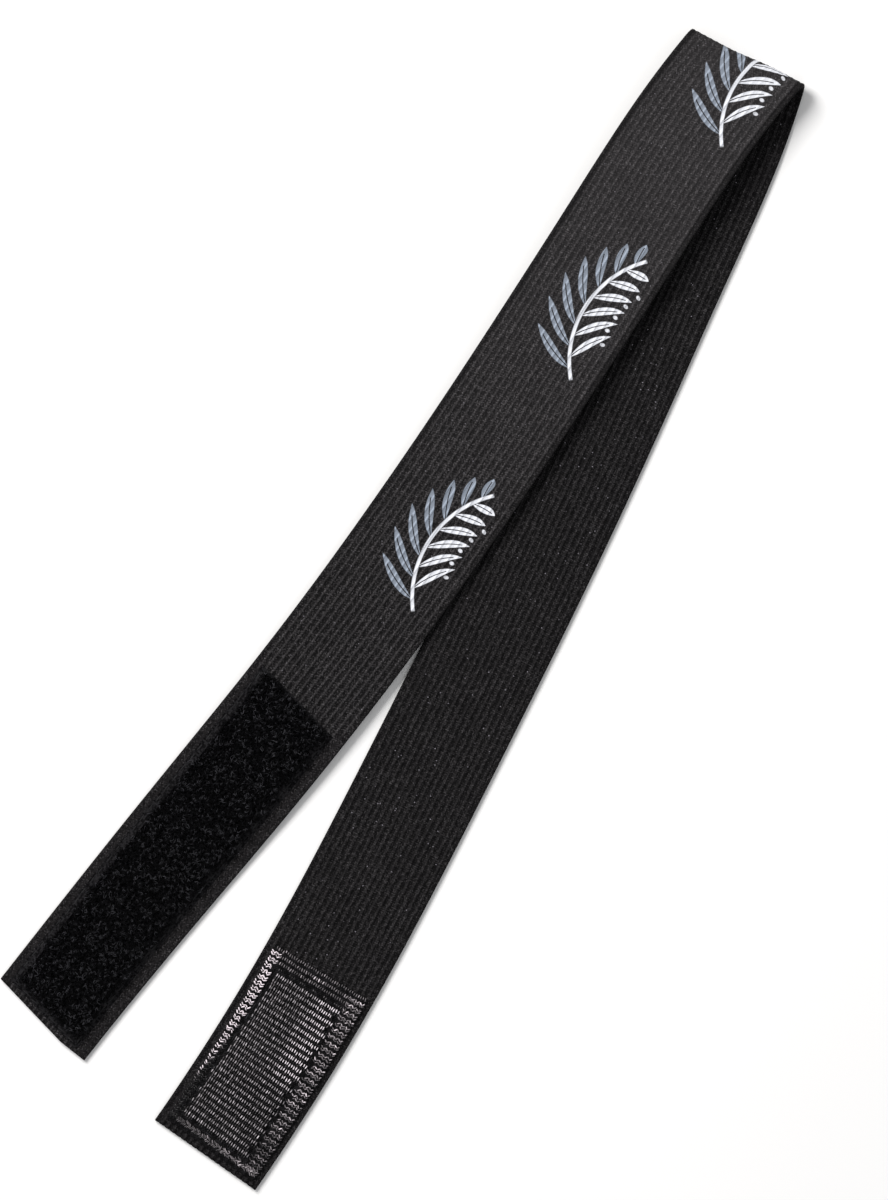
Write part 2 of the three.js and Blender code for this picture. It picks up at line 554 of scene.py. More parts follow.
@dataclass(frozen=True)
class Lay:
    """The strip and how it lies: folded once, with both legs turning in the plane. Millimetres, degrees."""

    width: float = 30.0
    thickness: float = 1.2
    upper_leg: float = 289.0
    lower_leg: float = 296.5
    upper_cut_skew: float = 7.8
    end_narrowing: float = 1.5
    narrowing_run: float = 85.0
    fold_gap: float = 4.6
    fold_skew: float = 12.0
    fold_bulge: float = 0.9
    bulge_run: float = 25.0
    bulge_from: float = 6.0
    bulge_to: float = -8.0
    lay_turn: float = 3.0
    leg_gap: float = 0.3
    step_down_run: float = 60.0
    curl_run: float = 32.0
    loop_patch_start: float = 1.5
    loop_patch_length: float = 99.0
    upper_turns: Turns = ((0, 0), (0.1, -6.8), (0.25, -7.4), (0.5, -4.8), (0.75, -0.7), (1, -2))
    lower_turns: Turns = ((0, 0), (0.1, 7.5), (0.25, 7.8), (0.5, 10.1), (0.75, 11.8), (1, 18.8))

    @cached_property
    def nose_radius(self) -> float:
        """Radius of the strip's middle surface round the fold."""
        return (self.fold_gap + self.thickness) / 2

    @cached_property
    def skew(self) -> tuple[float, float]:
        """Cosine and sine of the fold's skew."""
        return math.cos(math.radians(self.fold_skew)), math.sin(math.radians(self.fold_skew))

    @cached_property
    def half_arc(self) -> float:
        """Half of the way round the fold, square to it."""
        return math.pi * self.nose_radius / 2

    @cached_property
    def half_nose(self) -> float:
        """Half of the way round the fold, along the strip."""
        return self.half_arc / self.skew[0]

    @cached_property
    def fold_station(self) -> float:
        """Where on the strip the middle of the fold is."""
        return self.upper_leg + self.half_nose

    @cached_property
    def length(self) -> float:
        """The strip's flat length."""
        return self.fold_station + self.half_nose + self.lower_leg

    @cached_property
    def cut_slope(self) -> float:
        """How far the upper leg's cut moves along the strip for each unit across it."""
        return math.tan(math.radians(self.upper_cut_skew))

    @cached_property
    def covered_to(self) -> float:
        """Where on the strip the loop patch ends."""
        return self.loop_patch_start + self.loop_patch_length

    @cached_property
    def upper_line(self) -> LegLine:
        """The centre line of the upper leg."""
        return LegLine(self.upper_turns, self.upper_leg)

    @cached_property
    def lower_line(self) -> LegLine:
        """The centre line of the lower leg."""
        return LegLine(self.lower_turns, self.lower_leg)

    @cached_property
    def step_down_start(self) -> float:
        """Run from the fold at which the upper leg leaves the lower one.

        Returns:
            The run, from where the two centre lines are a strip's width apart.
        """
        cos, sin = self.skew
        run = np.arange(0.0, self.upper_leg)
        x1, y1, _ = self.upper_line.at(run)
        x2, y2, _ = self.lower_line.at(run)
        upper = np.column_stack([-cos * x1 + sin * y1, sin * x1 + cos * y1])
        lower = np.column_stack([-cos * x2 - sin * y2, -sin * x2 + cos * y2])
        apart = np.linalg.norm(upper - lower, axis=1)
        parted = run[np.argmax(apart >= self.width)]
        return parted + self.width * sin

    def upper_height(self, run: np.ndarray) -> np.ndarray:
        """Height of the upper leg's middle surface.

        Args:
            run: the way along the leg from the fold.

        Returns:
            The height above the surface that the band lies on.
        """
        settled = self.thickness + self.leg_gap
        lift = settled + (2 * self.nose_radius - settled) * (1 - smooth(run, 0, self.step_down_start))
        down = 1 - smooth(run, self.step_down_start, self.step_down_start + self.step_down_run)
        return self.thickness / 2 + lift * down

    def profile(self, distance: np.ndarray) -> tuple[np.ndarray, np.ndarray, np.ndarray, np.ndarray]:
        """Side view of the middle surface.

        Args:
            distance: from the middle of the fold, square to it.

        Returns:
            The point (x, z) and the direction (x, z) of the outer face there.
        """
        half, radius, base = self.half_arc, self.nose_radius, self.thickness / 2
        angle = -distance / radius
        run = -half - distance
        height = self.upper_height(run)
        rise = self.upper_height(run + 1) - height
        slope = np.hypot(rise, 1)
        round_fold = base + radius + radius * np.sin(angle)
        on_ground = distance > half
        on_upper = distance <= -half
        x = np.where(on_ground, half - distance, np.where(on_upper, -run, radius * np.cos(angle)))
        z = np.where(on_ground, base, np.where(on_upper, height, round_fold))
        up_x = np.where(on_ground, 0.0, np.where(on_upper, rise / slope, np.cos(angle)))
        up_z = np.where(on_ground, -1.0, np.where(on_upper, 1 / slope, np.sin(angle)))
        return x, z, up_x, up_z

    def _laid(self, along: np.ndarray, across: np.ndarray, height: np.ndarray) -> np.ndarray:
        """Lays points of the strip in space, before the shift to the row's origin.

        Args:
            along: from the upper leg's free end.
            across: from the centre line.
            height: from the middle surface, plus towards the outer face.

        Returns:
            The points in millimetres.
        """
        cos, sin = self.skew
        inward = smooth(along, 0, self.narrowing_run)
        across = across * (1 - (self.end_narrowing / self.width) * (1 - inward))
        from_fold = along - self.fold_station
        distance = from_fold * cos + across * sin
        x, z, up_x, up_z = self.profile(distance)
        near_fold = 1 - smooth(np.abs(distance), self.half_arc, self.half_arc + self.bulge_run)
        x = x + height * up_x + self.fold_bulge * smooth(across, self.bulge_from, self.bulge_to) * near_fold
        y = across * cos - from_fold * sin

        run = np.abs(from_fold) - self.half_nose
        on_upper = from_fold < 0
        ahead, aside, turn = (
            np.where(on_upper, one, other)
            for one, other in zip(self.upper_line.at(run), self.lower_line.at(run))
        )
        forward = ahead - across * np.sin(turn) - run
        sideways = aside + across * np.cos(turn) - across
        sign = np.where(on_upper, 1.0, -1.0)
        x = x - cos * forward + sign * sin * sideways
        y = y + sign * sin * forward + cos * sideways

        turned = math.radians(self.lay_turn)
        return np.column_stack(
            [
                x * math.cos(turned) - y * math.sin(turned),
                x * math.sin(turned) + y * math.cos(turned),
                z + height * up_z,
            ]
        )

    @cached_property
    def shift(self) -> np.ndarray:
        """What moves the laid strip onto the CAD band, whose lowest x and highest y are at its ends.

        Returns:
            The move in millimetres.
        """
        half, edge = self.thickness / 2, self.width / 2
        skewed = self.cut_slope * edge
        along = np.array([-skewed, skewed, self.length, self.length]).repeat(2)
        across = np.array([-edge, edge, -edge, edge]).repeat(2)
        corners = self._laid(along, across, np.array([half, -half] * 4))
        low, high = (np.array(corner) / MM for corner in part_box("elastic_band"))
        to_low, to_high = low - corners.min(axis=0), high - corners.max(axis=0)
        return np.array([to_low[0], to_high[1], to_low[2]])

    def place(self, along: np.ndarray, across: np.ndarray, height: np.ndarray) -> np.ndarray:
        """Lays points of the strip in the row frame.

        Args:
            along: from the upper leg's free end.
            across: from the centre line.
            height: from the middle surface, plus towards the outer face.

        Returns:
            The points in metres.
        """
        spread = np.broadcast_arrays(along, across, height)
        along, across, height = (np.asarray(values, float).ravel() for values in spread)
        return (self._laid(along, across, height) + self.shift) * MM

    def axes(
        self, along: np.ndarray, across: np.ndarray, height: np.ndarray
    ) -> tuple[np.ndarray, np.ndarray]:
        """The strip's directions at points of it, which are given as for place.

        Args:
            along: from the upper leg's free end.
            across: from the centre line.
            height: from the middle surface.

        Returns:
            Unit vectors along the strip and out of its outer face.
        """
        step = 0.2
        ahead = self.place(along + step, across, height) - self.place(along - step, across, height)
        out = self.place(along, across, height + step) - self.place(along, across, height - step)
        return (
            ahead / np.linalg.norm(ahead, axis=1, keepdims=True),
            out / np.linalg.norm(out, axis=1, keepdims=True),
        )

    def skew_at(self, run: np.ndarray, leg: float, cut: float) -> np.ndarray:
        """How far a station moves along the strip for each unit across it: from the fold line to the cut."""
        fold_line = -math.tan(math.radians(self.fold_skew))
        return fold_line + (cut - fold_line) * smooth(run, self.curl_run, leg)

    def sweep(
        self, name: str, along: np.ndarray, across: np.ndarray, low: np.ndarray, high: np.ndarray
    ) -> bpy.types.Object:
        """Makes a closed solid along the strip, from rings with the same places across on both faces.

        Args:
            name: the object's name.
            along: place along the strip, one row for each station and one column for each place across.
            across: place across the strip, in the same shape.
            low: height of the side nearer the inner face, in the same shape.
            high: height of the side nearer the outer face, in the same shape.

        Returns:
            The object, with the attributes along, across and side.
        """
        stations, places = along.shape
        ring_along = np.hstack([along, along[:, ::-1]])
        ring_across = np.hstack([across, across[:, ::-1]])
        ring_height = np.hstack([low, high[:, ::-1]])
        size = 2 * places
        faces = band_of_faces(stations, size)
        last = (stations - 1) * size
        for j in range(places - 1):
            a, b, c, d = j, j + 1, size - 2 - j, size - 1 - j
            faces.append((d, c, b, a))
            faces.append((last + a, last + b, last + c, last + d))
        made = mesh_object(name, self.place(ring_along, ring_across, ring_height), faces)
        give_numbers(made, "along", ring_along.ravel())
        give_numbers(made, "across", ring_across.ravel())
        side = np.hstack([-np.ones((stations, places)), np.ones((stations, places))])
        give_numbers(made, "side", side.ravel())
        return made


# Finishes


@dataclass(frozen=True)
class SprigPrint:
    """A generic leafy sprig printed on the outer face, again and again. Millimetres."""

    pitch: float = 68.0
    first: float = 16.0
    across: float = -0.4
    arc_radius: float = 25.0
    arc_offset: float = -1.5
    soft: float = 0.14
    half_stem: float = 18.5
    stem_width: float = 0.42
    stem_fade: float = 0.6
    leaf_pitch: float = 5.3
    leaf_length: float = 9.0
    leaf_width: float = 1.45
    leaf_slant: float = 0.95
    leaf_steps: float = 3.0
    tip_shortening: float = 0.5
    vein_from: float = 0.1
    vein_to: float = 0.24
    vein_share: float = 0.8
    berry_radius: float = 0.62
    berry_row: float = 7.6
    berry_shift: float = 0.1
    berry_steps: float = 2.5
    berry_ink: float = 0.85

    def masks(self, along: Num, across: Num) -> tuple[Num, Num]:
        """Where the two inks lie.

        Args:
            along: place along the strip.
            across: place across the strip.

        Returns:
            The white ink and the pale grey ink, from 0 to 1.
        """
        x = (((along - self.first) / self.pitch + 0.5).fract() - 0.5) * self.pitch
        y = across - self.across - self.arc_offset + self.arc_radius
        radial = (x * x + y * y).root() - self.arc_radius
        run = x.angle_to(y) * self.arc_radius
        outside = radial > 0.0
        leaf = self.leaves(run, abs(radial), outside)
        inside = leaf * (1.0 - outside)
        berry = self.berries(run, radial) * self.berry_ink
        return self.stem(run, abs(radial)).most(inside).most(berry), leaf * outside

    def disc(self, distance: Num, radius: float) -> Num:
        """1 nearer than the radius and 0 beyond it, with a soft edge."""
        return distance.step(radius + self.soft, radius - self.soft)

    def stem(self, run: Num, aside: Num) -> Num:
        """The stem, for a run along its arc and a distance from it."""
        body = self.disc(aside, self.stem_width)
        return body * abs(run).step(self.half_stem + self.stem_fade, self.half_stem)

    def leaves(self, run: Num, aside: Num, outside: Num) -> Num:
        """The leaves of both sides, shorter towards the tip and parted by a vein.

        Args:
            run: the way along the stem's arc.
            aside: the distance from it.
            outside: 1 on the outer side of the arc, where the leaves stand half a step further.

        Returns:
            The leaves, from 0 to 1.
        """
        foot = run - aside * self.leaf_slant
        from_axis = abs((foot / self.leaf_pitch + outside * 0.5).fract() - 0.5) * self.leaf_pitch
        to_tip = (run / self.half_stem).most(0.0)
        share = aside / (self.leaf_length * (1.0 - self.tip_shortening * to_tip * to_tip))
        blade = self.leaf_width * 4.0 * share * (1.0 - share)
        kept = (abs(foot) < self.leaf_pitch * (self.leaf_steps + 0.5 * outside)) * (share < 1.0)
        leaf = (from_axis - blade).step(self.soft, -self.soft) * kept
        off_vein = from_axis.step(self.vein_from, self.vein_to) * (share < self.vein_share)
        return leaf * (off_vein + (share > self.vein_share)).least(1.0)

    def berries(self, run: Num, radial: Num) -> Num:
        """The berries, in a row on the inner side of the stem.

        Args:
            run: the way along the stem's arc.
            radial: the distance from it, plus on its outer side.

        Returns:
            The berries, from 0 to 1.
        """
        step = run / self.leaf_pitch + self.berry_shift
        x = (step.fract() - 0.5) * self.leaf_pitch
        y = radial + self.berry_row
        berry = self.disc((x * x + y * y).root(), self.berry_radius)
        return berry * (abs(step.floor()) < self.berry_steps)


@dataclass(frozen=True)
class Ribs:
    """How the elastic is ribbed, for its mesh and its finish. Millimetres."""

    pitch: float = 1.65
    plain_edge: float = 1.8


@dataclass(frozen=True)
class RibTones:
    """How light the ribs of both faces are, from 0 in a valley to 1 on a bright ridge: the lighter ridges
    are painted sheen and the darker valleys painted shade.

    Towards the fold the outer face is painted lighter, a painted light gradient, and its ribs stand out
    less.
    """

    crest: tuple[float, float] = (0.1, 0.98)
    foot: tuple[float, float] = (-1.0, -0.3)
    outer: float = 0.10
    outer_fold_light: float = 0.115
    outer_rib: float = 0.17
    outer_rib_fold_light: float = 0.14
    outer_far: float = 0.085
    weft_mark: float = 0.4
    inner: float = 0.06
    inner_foot: float = 0.015
    inner_rib: float = 0.08

    def tone(self, column: Num, row: Num, wear_and_light: Num, outer: Num) -> Num:
        """The tone of ribs and valleys.

        Args:
            column: place across, in ribs.
            row: place along, in weft threads.
            wear_and_light: how much lighter the outer face is painted towards the fold, a painted light
                gradient, from 0 to 1.
            outer: 1 on the outer face.

        Returns:
            The tone.
        """
        # painted sheen on the ridges and painted shade in the valleys
        peaks = column.wave()
        rib = peaks.step(*self.crest)
        # painted light: nearer the fold the outer face and its ridges are painted lighter
        far = wear_and_light * wear_and_light
        outer_rib = rib * (self.outer_rib - self.outer_rib_fold_light * far)
        outer_tone = self.outer + self.outer_fold_light * wear_and_light + outer_rib * (1.0 + self.weft_mark * row.wave())
        outer_tone = outer_tone + far * (0.5 + 0.5 * peaks) * self.outer_far
        inner_tone = self.inner + self.inner_foot * peaks.step(*self.foot) + self.inner_rib * rib
        return inner_tone + (outer_tone - inner_tone) * outer


@dataclass(frozen=True)
class KnitGrain:
    """How the knitted loops and their fibres differ from each other in tone."""

    loops_per_rib: float = 3.0
    grains_per_loop: float = 2.0
    grain_least: float = 0.45
    grain_rise: float = 2.7
    lattice_rise: float = 0.85
    loop_least: float = 0.65
    loop_rise: float = 0.7
    glint_along: tuple[float, float] = (3.7, 1.9)
    glint_across: tuple[float, float] = (-2.3, 3.3)
    glint_chance: tuple[float, float] = (0.9972, 0.9996)

    def lattice(self, column: Num, row: Num) -> Num:
        """The even pattern of the loops, from -1 to 1."""
        return (column * self.loops_per_rib).wave() * row.wave()

    def grain(self, sheet: ShaderSheet, column: Num, row: Num, outer: Num) -> Num:
        """A random number from 0 to 1 for each fibre."""
        cell = (column * (self.loops_per_rib * self.grains_per_loop)).floor()
        return sheet.chance(cell, (row * self.grains_per_loop).floor(), outer)

    def speckle(self, sheet: ShaderSheet, column: Num, row: Num, outer: Num) -> Num:
        """What the tone is multiplied by, so that loops and fibres stand out.

        Args:
            sheet: the tree to write in.
            column: place across, in ribs.
            row: place along, in weft threads.
            outer: 1 on the outer face.

        Returns:
            The factor, about 1 on the whole.
        """
        grain = self.grain(sheet, column, row, outer)
        sharp = grain * grain
        fibres = self.grain_least + self.grain_rise * sharp * sharp
        lattice = 1.0 + self.lattice_rise * self.lattice(column, row)
        chance = sheet.chance((column * self.loops_per_rib).floor(), row.floor(), outer)
        return fibres * lattice * (self.loop_least + self.loop_rise * chance)

    def glint(self, sheet: ShaderSheet, along: Num, across: Num, outer: Num) -> Num:
        """The few fibres that catch the light, each in a small slanted cell of its own.

        Args:
            sheet: the tree to write in.
            along: place along the strip.
            across: place across the strip.
            outer: 1 on the outer face.

        Returns:
            1 on a bright fibre.
        """
        axes = (self.glint_along, self.glint_across)
        cell = [(along * by_along + across * by_across).floor() for by_along, by_across in axes]
        return sheet.chance(*cell, outer).step(*self.glint_chance)


@dataclass(frozen=True)
class ElasticFinish:
    """Black ribbed elastic with its print. Lengths in millimetres."""

    lay: Lay
    ribs: Ribs
    tones: RibTones = RibTones()
    knit: KnitGrain = KnitGrain()
    sprig: SprigPrint = SprigPrint()
    weft: float = 0.58
    wander_scale: float = 0.5
    rib_wander: float = 0.05
    weft_wander: float = 0.5
    # painted light: the run over which the outer face is painted lighter towards the fold
    fold_light_run: tuple[float, float] = (95.0, 275.0)
    covered_edge: float = 1.5
    edge_soft: float = 0.5
    edge_tone: float = 0.078
    edge_outer: float = 0.03
    mottle_scale: float = 0.12
    mottle_detail: float = 3.0
    mottle_least: float = 0.8
    mottle_rise: float = 0.4
    calm_fold_light: float = 0.55
    calm_rib: float = 0.45
    calm_outer_rib: float = 0.15
    outer_glint_loss: float = 0.4
    printed_from: float = 106.0
    bite: float = 0.84
    bite_rib: float = 0.1
    bite_grain: float = 0.06
    grey_least: float = 0.7
    roughness: float = 0.85
    ink_gloss: float = 0.3
    specular: float = 0.05
    index: float = 1.45
    relief: float = 0.1
    relief_middle: float = 0.5
    lattice_relief: float = 0.3
    weft_relief: float = 0.2
    ink_fill: float = 0.5
    # the tone runs from valley to ridge: darker valleys are painted shade, lighter ridges painted sheen
    valley: Colour = (0.0012, 0.0011, 0.0013)
    ridge: Colour = (0.125, 0.118, 0.123)
    glint: Colour = (0.20, 0.19, 0.215)
    white_ink: Colour = (0.80, 0.82, 0.88)
    grey_ink: Colour = (0.34, 0.39, 0.47)

    def edge(self, along: Num, across: Num, outer: Num) -> Num:
        """The plain edges, which reach further in beside the loop patch.

        Args:
            along: place along the strip.
            across: place across the strip.
            outer: 1 on the outer face.

        Returns:
            1 on the edges and 0 on the ribs.
        """
        covered = outer * (along < self.lay.covered_to)
        inner_side = self.lay.width / 2 - self.ribs.plain_edge - covered * self.covered_edge
        return (abs(across) - inner_side).step(0.0, self.edge_soft)

    def material(self) -> bpy.types.Material:
        """Makes the material, which follows the strip on both faces.

        Returns:
            The material.
        """
        sheet = ShaderSheet("ribbed elastic", {"Specular IOR Level": self.specular, "IOR": self.index})
        along, across = sheet.attribute("along"), sheet.attribute("across")
        outer = sheet.attribute("side") > 0.0
        place = sheet.vector(along, across)
        wander = sheet.noise(place, self.wander_scale) - 0.5
        column = across / self.ribs.pitch + self.rib_wander * wander
        row = along / self.weft + self.weft_wander * wander
        rib = column.wave().step(*self.tones.crest)
        # painted light gradient: the outer face is painted lighter, with calmer ribs, towards the fold
        wear_and_light = along.step(*self.fold_light_run)

        edge = self.edge(along, across, outer)
        tone = self.tones.tone(column, row, wear_and_light, outer)
        tone = tone + (self.edge_tone + self.edge_outer * outer - tone) * edge
        speckle = self.knit.speckle(sheet, column, row, outer)
        calm = (outer * self.calm_fold_light * wear_and_light).most((self.calm_rib + self.calm_outer_rib * outer) * rib)
        patches = sheet.noise(place, self.mottle_scale, self.mottle_detail)
        mottle = self.mottle_least + self.mottle_rise * patches
        tone = tone * mottle * (speckle + (1.0 - speckle) * calm)
        glint = self.knit.glint(sheet, along, across, outer) * (1.0 - edge)
        cloth = sheet.mix(tone.least(1.0), self.valley, self.ridge)
        cloth = sheet.mix(glint * (1.0 - self.outer_glint_loss * outer), cloth, self.glint)

        white, grey = self.sprig.masks(along, across)
        printed = outer * (along > self.printed_from)
        grain = self.knit.grain(sheet, column, row, outer)
        bite = printed * (self.bite + self.bite_rib * rib + self.bite_grain * grain)
        grey_bite = grey * bite * (self.grey_least + (1.0 - self.grey_least) * rib)
        colour = sheet.mix(grey_bite, cloth, self.grey_ink)
        colour = sheet.mix(white * bite, colour, self.white_ink)
        inked = white.most(grey) * printed

        lattice = self.lattice_relief * self.knit.lattice(column, row)
        height = self.relief_middle + lattice + self.weft_relief * row.wave() * rib * outer
        height = height * (1.0 - self.ink_fill * inked)
        sheet.finish(colour, self.roughness - self.ink_gloss * inked, height, self.relief * MM)
        return sheet.material


@dataclass(frozen=True)
class TapeFinish:
    """Woven tape that carries a fastener field. Lengths in millimetres."""

    name: str
    pitches: tuple[float, float]
    dark: Colour
    light: Colour
    roughness: float
    specular: float
    weave_share: float = 0.4
    grains_across: float = 1.5
    grains_along: float = 1.2
    grain_least: float = 0.15
    grain_rise: float = 2.5
    dark_roughness: float = 0.2
    relief: float = 0.12

    def material(self) -> bpy.types.Material:
        """Makes the material, a plain weave that follows the strip.

        Returns:
            The material.
        """
        sheet = ShaderSheet(self.name, {"Specular IOR Level": self.specular})
        across_pitch, along_pitch = self.pitches
        column, row = sheet.attribute("across") / across_pitch, sheet.attribute("along") / along_pitch
        over = column.wave() * row.wave()
        grain = sheet.chance((column * self.grains_across).floor(), (row * self.grains_along).floor())
        tone = 1.0 - self.weave_share + self.weave_share * over
        tone = (tone * (self.grain_least + self.grain_rise * grain * grain)).least(1.0)
        roughness = self.roughness + self.dark_roughness * (1.0 - tone)
        sheet.finish(sheet.mix(tone, self.dark, self.light), roughness, 0.5 + 0.5 * over, self.relief * MM)
        return sheet.material


@dataclass(frozen=True)
class YarnFinish:
    """Thread or filament whose tone differs from one strand to the next."""

    name: str
    dark: Colour
    light: Colour
    roughness: float
    specular: float
    worn_scale: float = 2600.0
    worn_rise: float = 0.6
    worn_roughness: float = 0.25

    def material(self) -> bpy.types.Material:
        """Makes the material. The attribute tone, from 0 to 1, comes with each strand.

        Returns:
            The material.
        """
        sheet = ShaderSheet(self.name, {"Specular IOR Level": self.specular})
        place = sheet.node("ShaderNodeTexCoord").outputs["Object"]
        wear_and_light = sheet.noise(place, self.worn_scale, 1.0)
        tone = sheet.attribute("tone") * (1.0 - self.worn_rise / 2 + self.worn_rise * wear_and_light)
        colour = sheet.mix(tone.least(1.0), self.dark, self.light)
        sheet.finish(colour, self.roughness + self.worn_roughness * (wear_and_light - 0.5))
        return sheet.material


# What repeats


@dataclass(frozen=True)
class Scatter:
    """How far shapes that are set again and again may differ. Angles in radians, change as a share."""

    lean: float = 0.0
    wander: float = 0.0
    change: float = 0.0
    seed: int = 1


class Spots(NamedTuple):
    """Places on a tape at which a shape is set, with the tone and the turn of each."""

    run: np.ndarray
    across: np.ndarray
    tone: np.ndarray
    turn: np.ndarray

    @classmethod
    def joined(cls, parts: list["Spots"]) -> "Spots":
        """All spots of the parts, in their order."""
        return cls(*(np.concatenate(values) for values in zip(*parts)))


@cache
def planting_tree() -> GeometrySheet:
    """Makes the tree that sets a shape on points: once, for all that share it.

    Returns:
        The tree. The points bring the attributes out, ahead, turn and tone.
    """
    inputs = {
        "Shape": Socket.OBJECT,
        "Lean": Socket.NUMBER,
        "Wander": Socket.NUMBER,
        "Size change": Socket.NUMBER,
        "Seed": Socket.COUNT,
    }
    sheet = GeometrySheet("set on points", inputs)
    lean, seed = sheet.given("Lean"), sheet.given("Seed")
    shape = sheet.node("GeometryNodeObjectInfo", {}, {"Object": sheet.given("Shape")})
    stand = sheet.node(
        "FunctionNodeAxesToRotation",
        {"primary_axis": "Z", "secondary_axis": "X"},
        {0: sheet.named("out", "FLOAT_VECTOR"), 1: sheet.named("ahead", "FLOAT_VECTOR")},
    )
    angles = sheet.vector(
        sheet.spread(lean, seed),
        sheet.spread(lean, seed + 1.0),
        sheet.named("turn") + sheet.spread(sheet.given("Wander"), seed + 2.0),
    )
    own = sheet.node("FunctionNodeEulerToRotation", {}, {0: angles})
    turned = sheet.node(
        "FunctionNodeRotateRotation",
        {"rotation_space": "LOCAL"},
        {0: stand.outputs[0], 1: own.outputs[0]},
    )
    size = 1.0 + sheet.spread(sheet.given("Size change"), seed + 3.0)
    points = sheet.node("GeometryNodeMeshToPoints", {}, {"Mesh": sheet.given("Geometry")})
    planted = sheet.node(
        "GeometryNodeInstanceOnPoints",
        {},
        {
            "Points": points.outputs[0],
            "Instance": shape.outputs["Geometry"],
            "Rotation": turned.outputs[0],
            "Scale": sheet.vector(size, size, size),
        },
    )
    sheet.close(planted.outputs[0])
    return sheet


@dataclass
class Planting:
    """Points of the strip at which one small shape is set, in the strip's coordinates."""

    lay: Lay
    along: np.ndarray
    across: np.ndarray
    height: np.ndarray
    turn: np.ndarray
    tone: np.ndarray
    face: Face

    def build(
        self, name: str, shape: Shape, material: bpy.types.Material, scatter: Scatter
    ) -> bpy.types.Object:
        """Sets the shape on all points as one mesh.

        Args:
            name: the piece's name.
            shape: in millimetres. It stands on the origin along +Z and points along +X.
            material: the piece's finish.
            scatter: how far the shapes differ.

        Returns:
            The finished piece.
        """
        vertices, faces = shape
        pattern = mesh_object("pattern", vertices * MM, faces)
        ahead, out = self.lay.axes(self.along, self.across, self.height)
        made = mesh_object(name, self.lay.place(self.along, self.across, self.height), [])
        give_numbers(made, "ahead", ahead)
        give_numbers(made, "out", out * self.face.value)
        give_numbers(made, "turn", self.turn)
        give_numbers(made, "tone", self.tone)
        values = {
            "Shape": pattern,
            "Lean": scatter.lean,
            "Wander": scatter.wander,
            "Size change": scatter.change,
            "Seed": scatter.seed,
            "Material": material,
        }
        planting_tree().apply(made, values)
        bpy.data.objects.remove(pattern)
        return made


@dataclass(frozen=True)
class Spacing:
    """Places from one edge to another, closer together at both. Millimetres."""

    rim: tuple[float, ...] = (0.0, 0.08, 0.2, 0.4)
    first: float = 0.6
    last: float = 0.55
    step: float = 0.6

    def places(self, low: float, high: float) -> np.ndarray:
        """The places from low to high."""
        middle = np.arange(low + self.first, high - self.last, self.step)
        return np.concatenate([low + np.array(self.rim), middle, high - np.array(self.rim[::-1])])


# Sub-assemblies


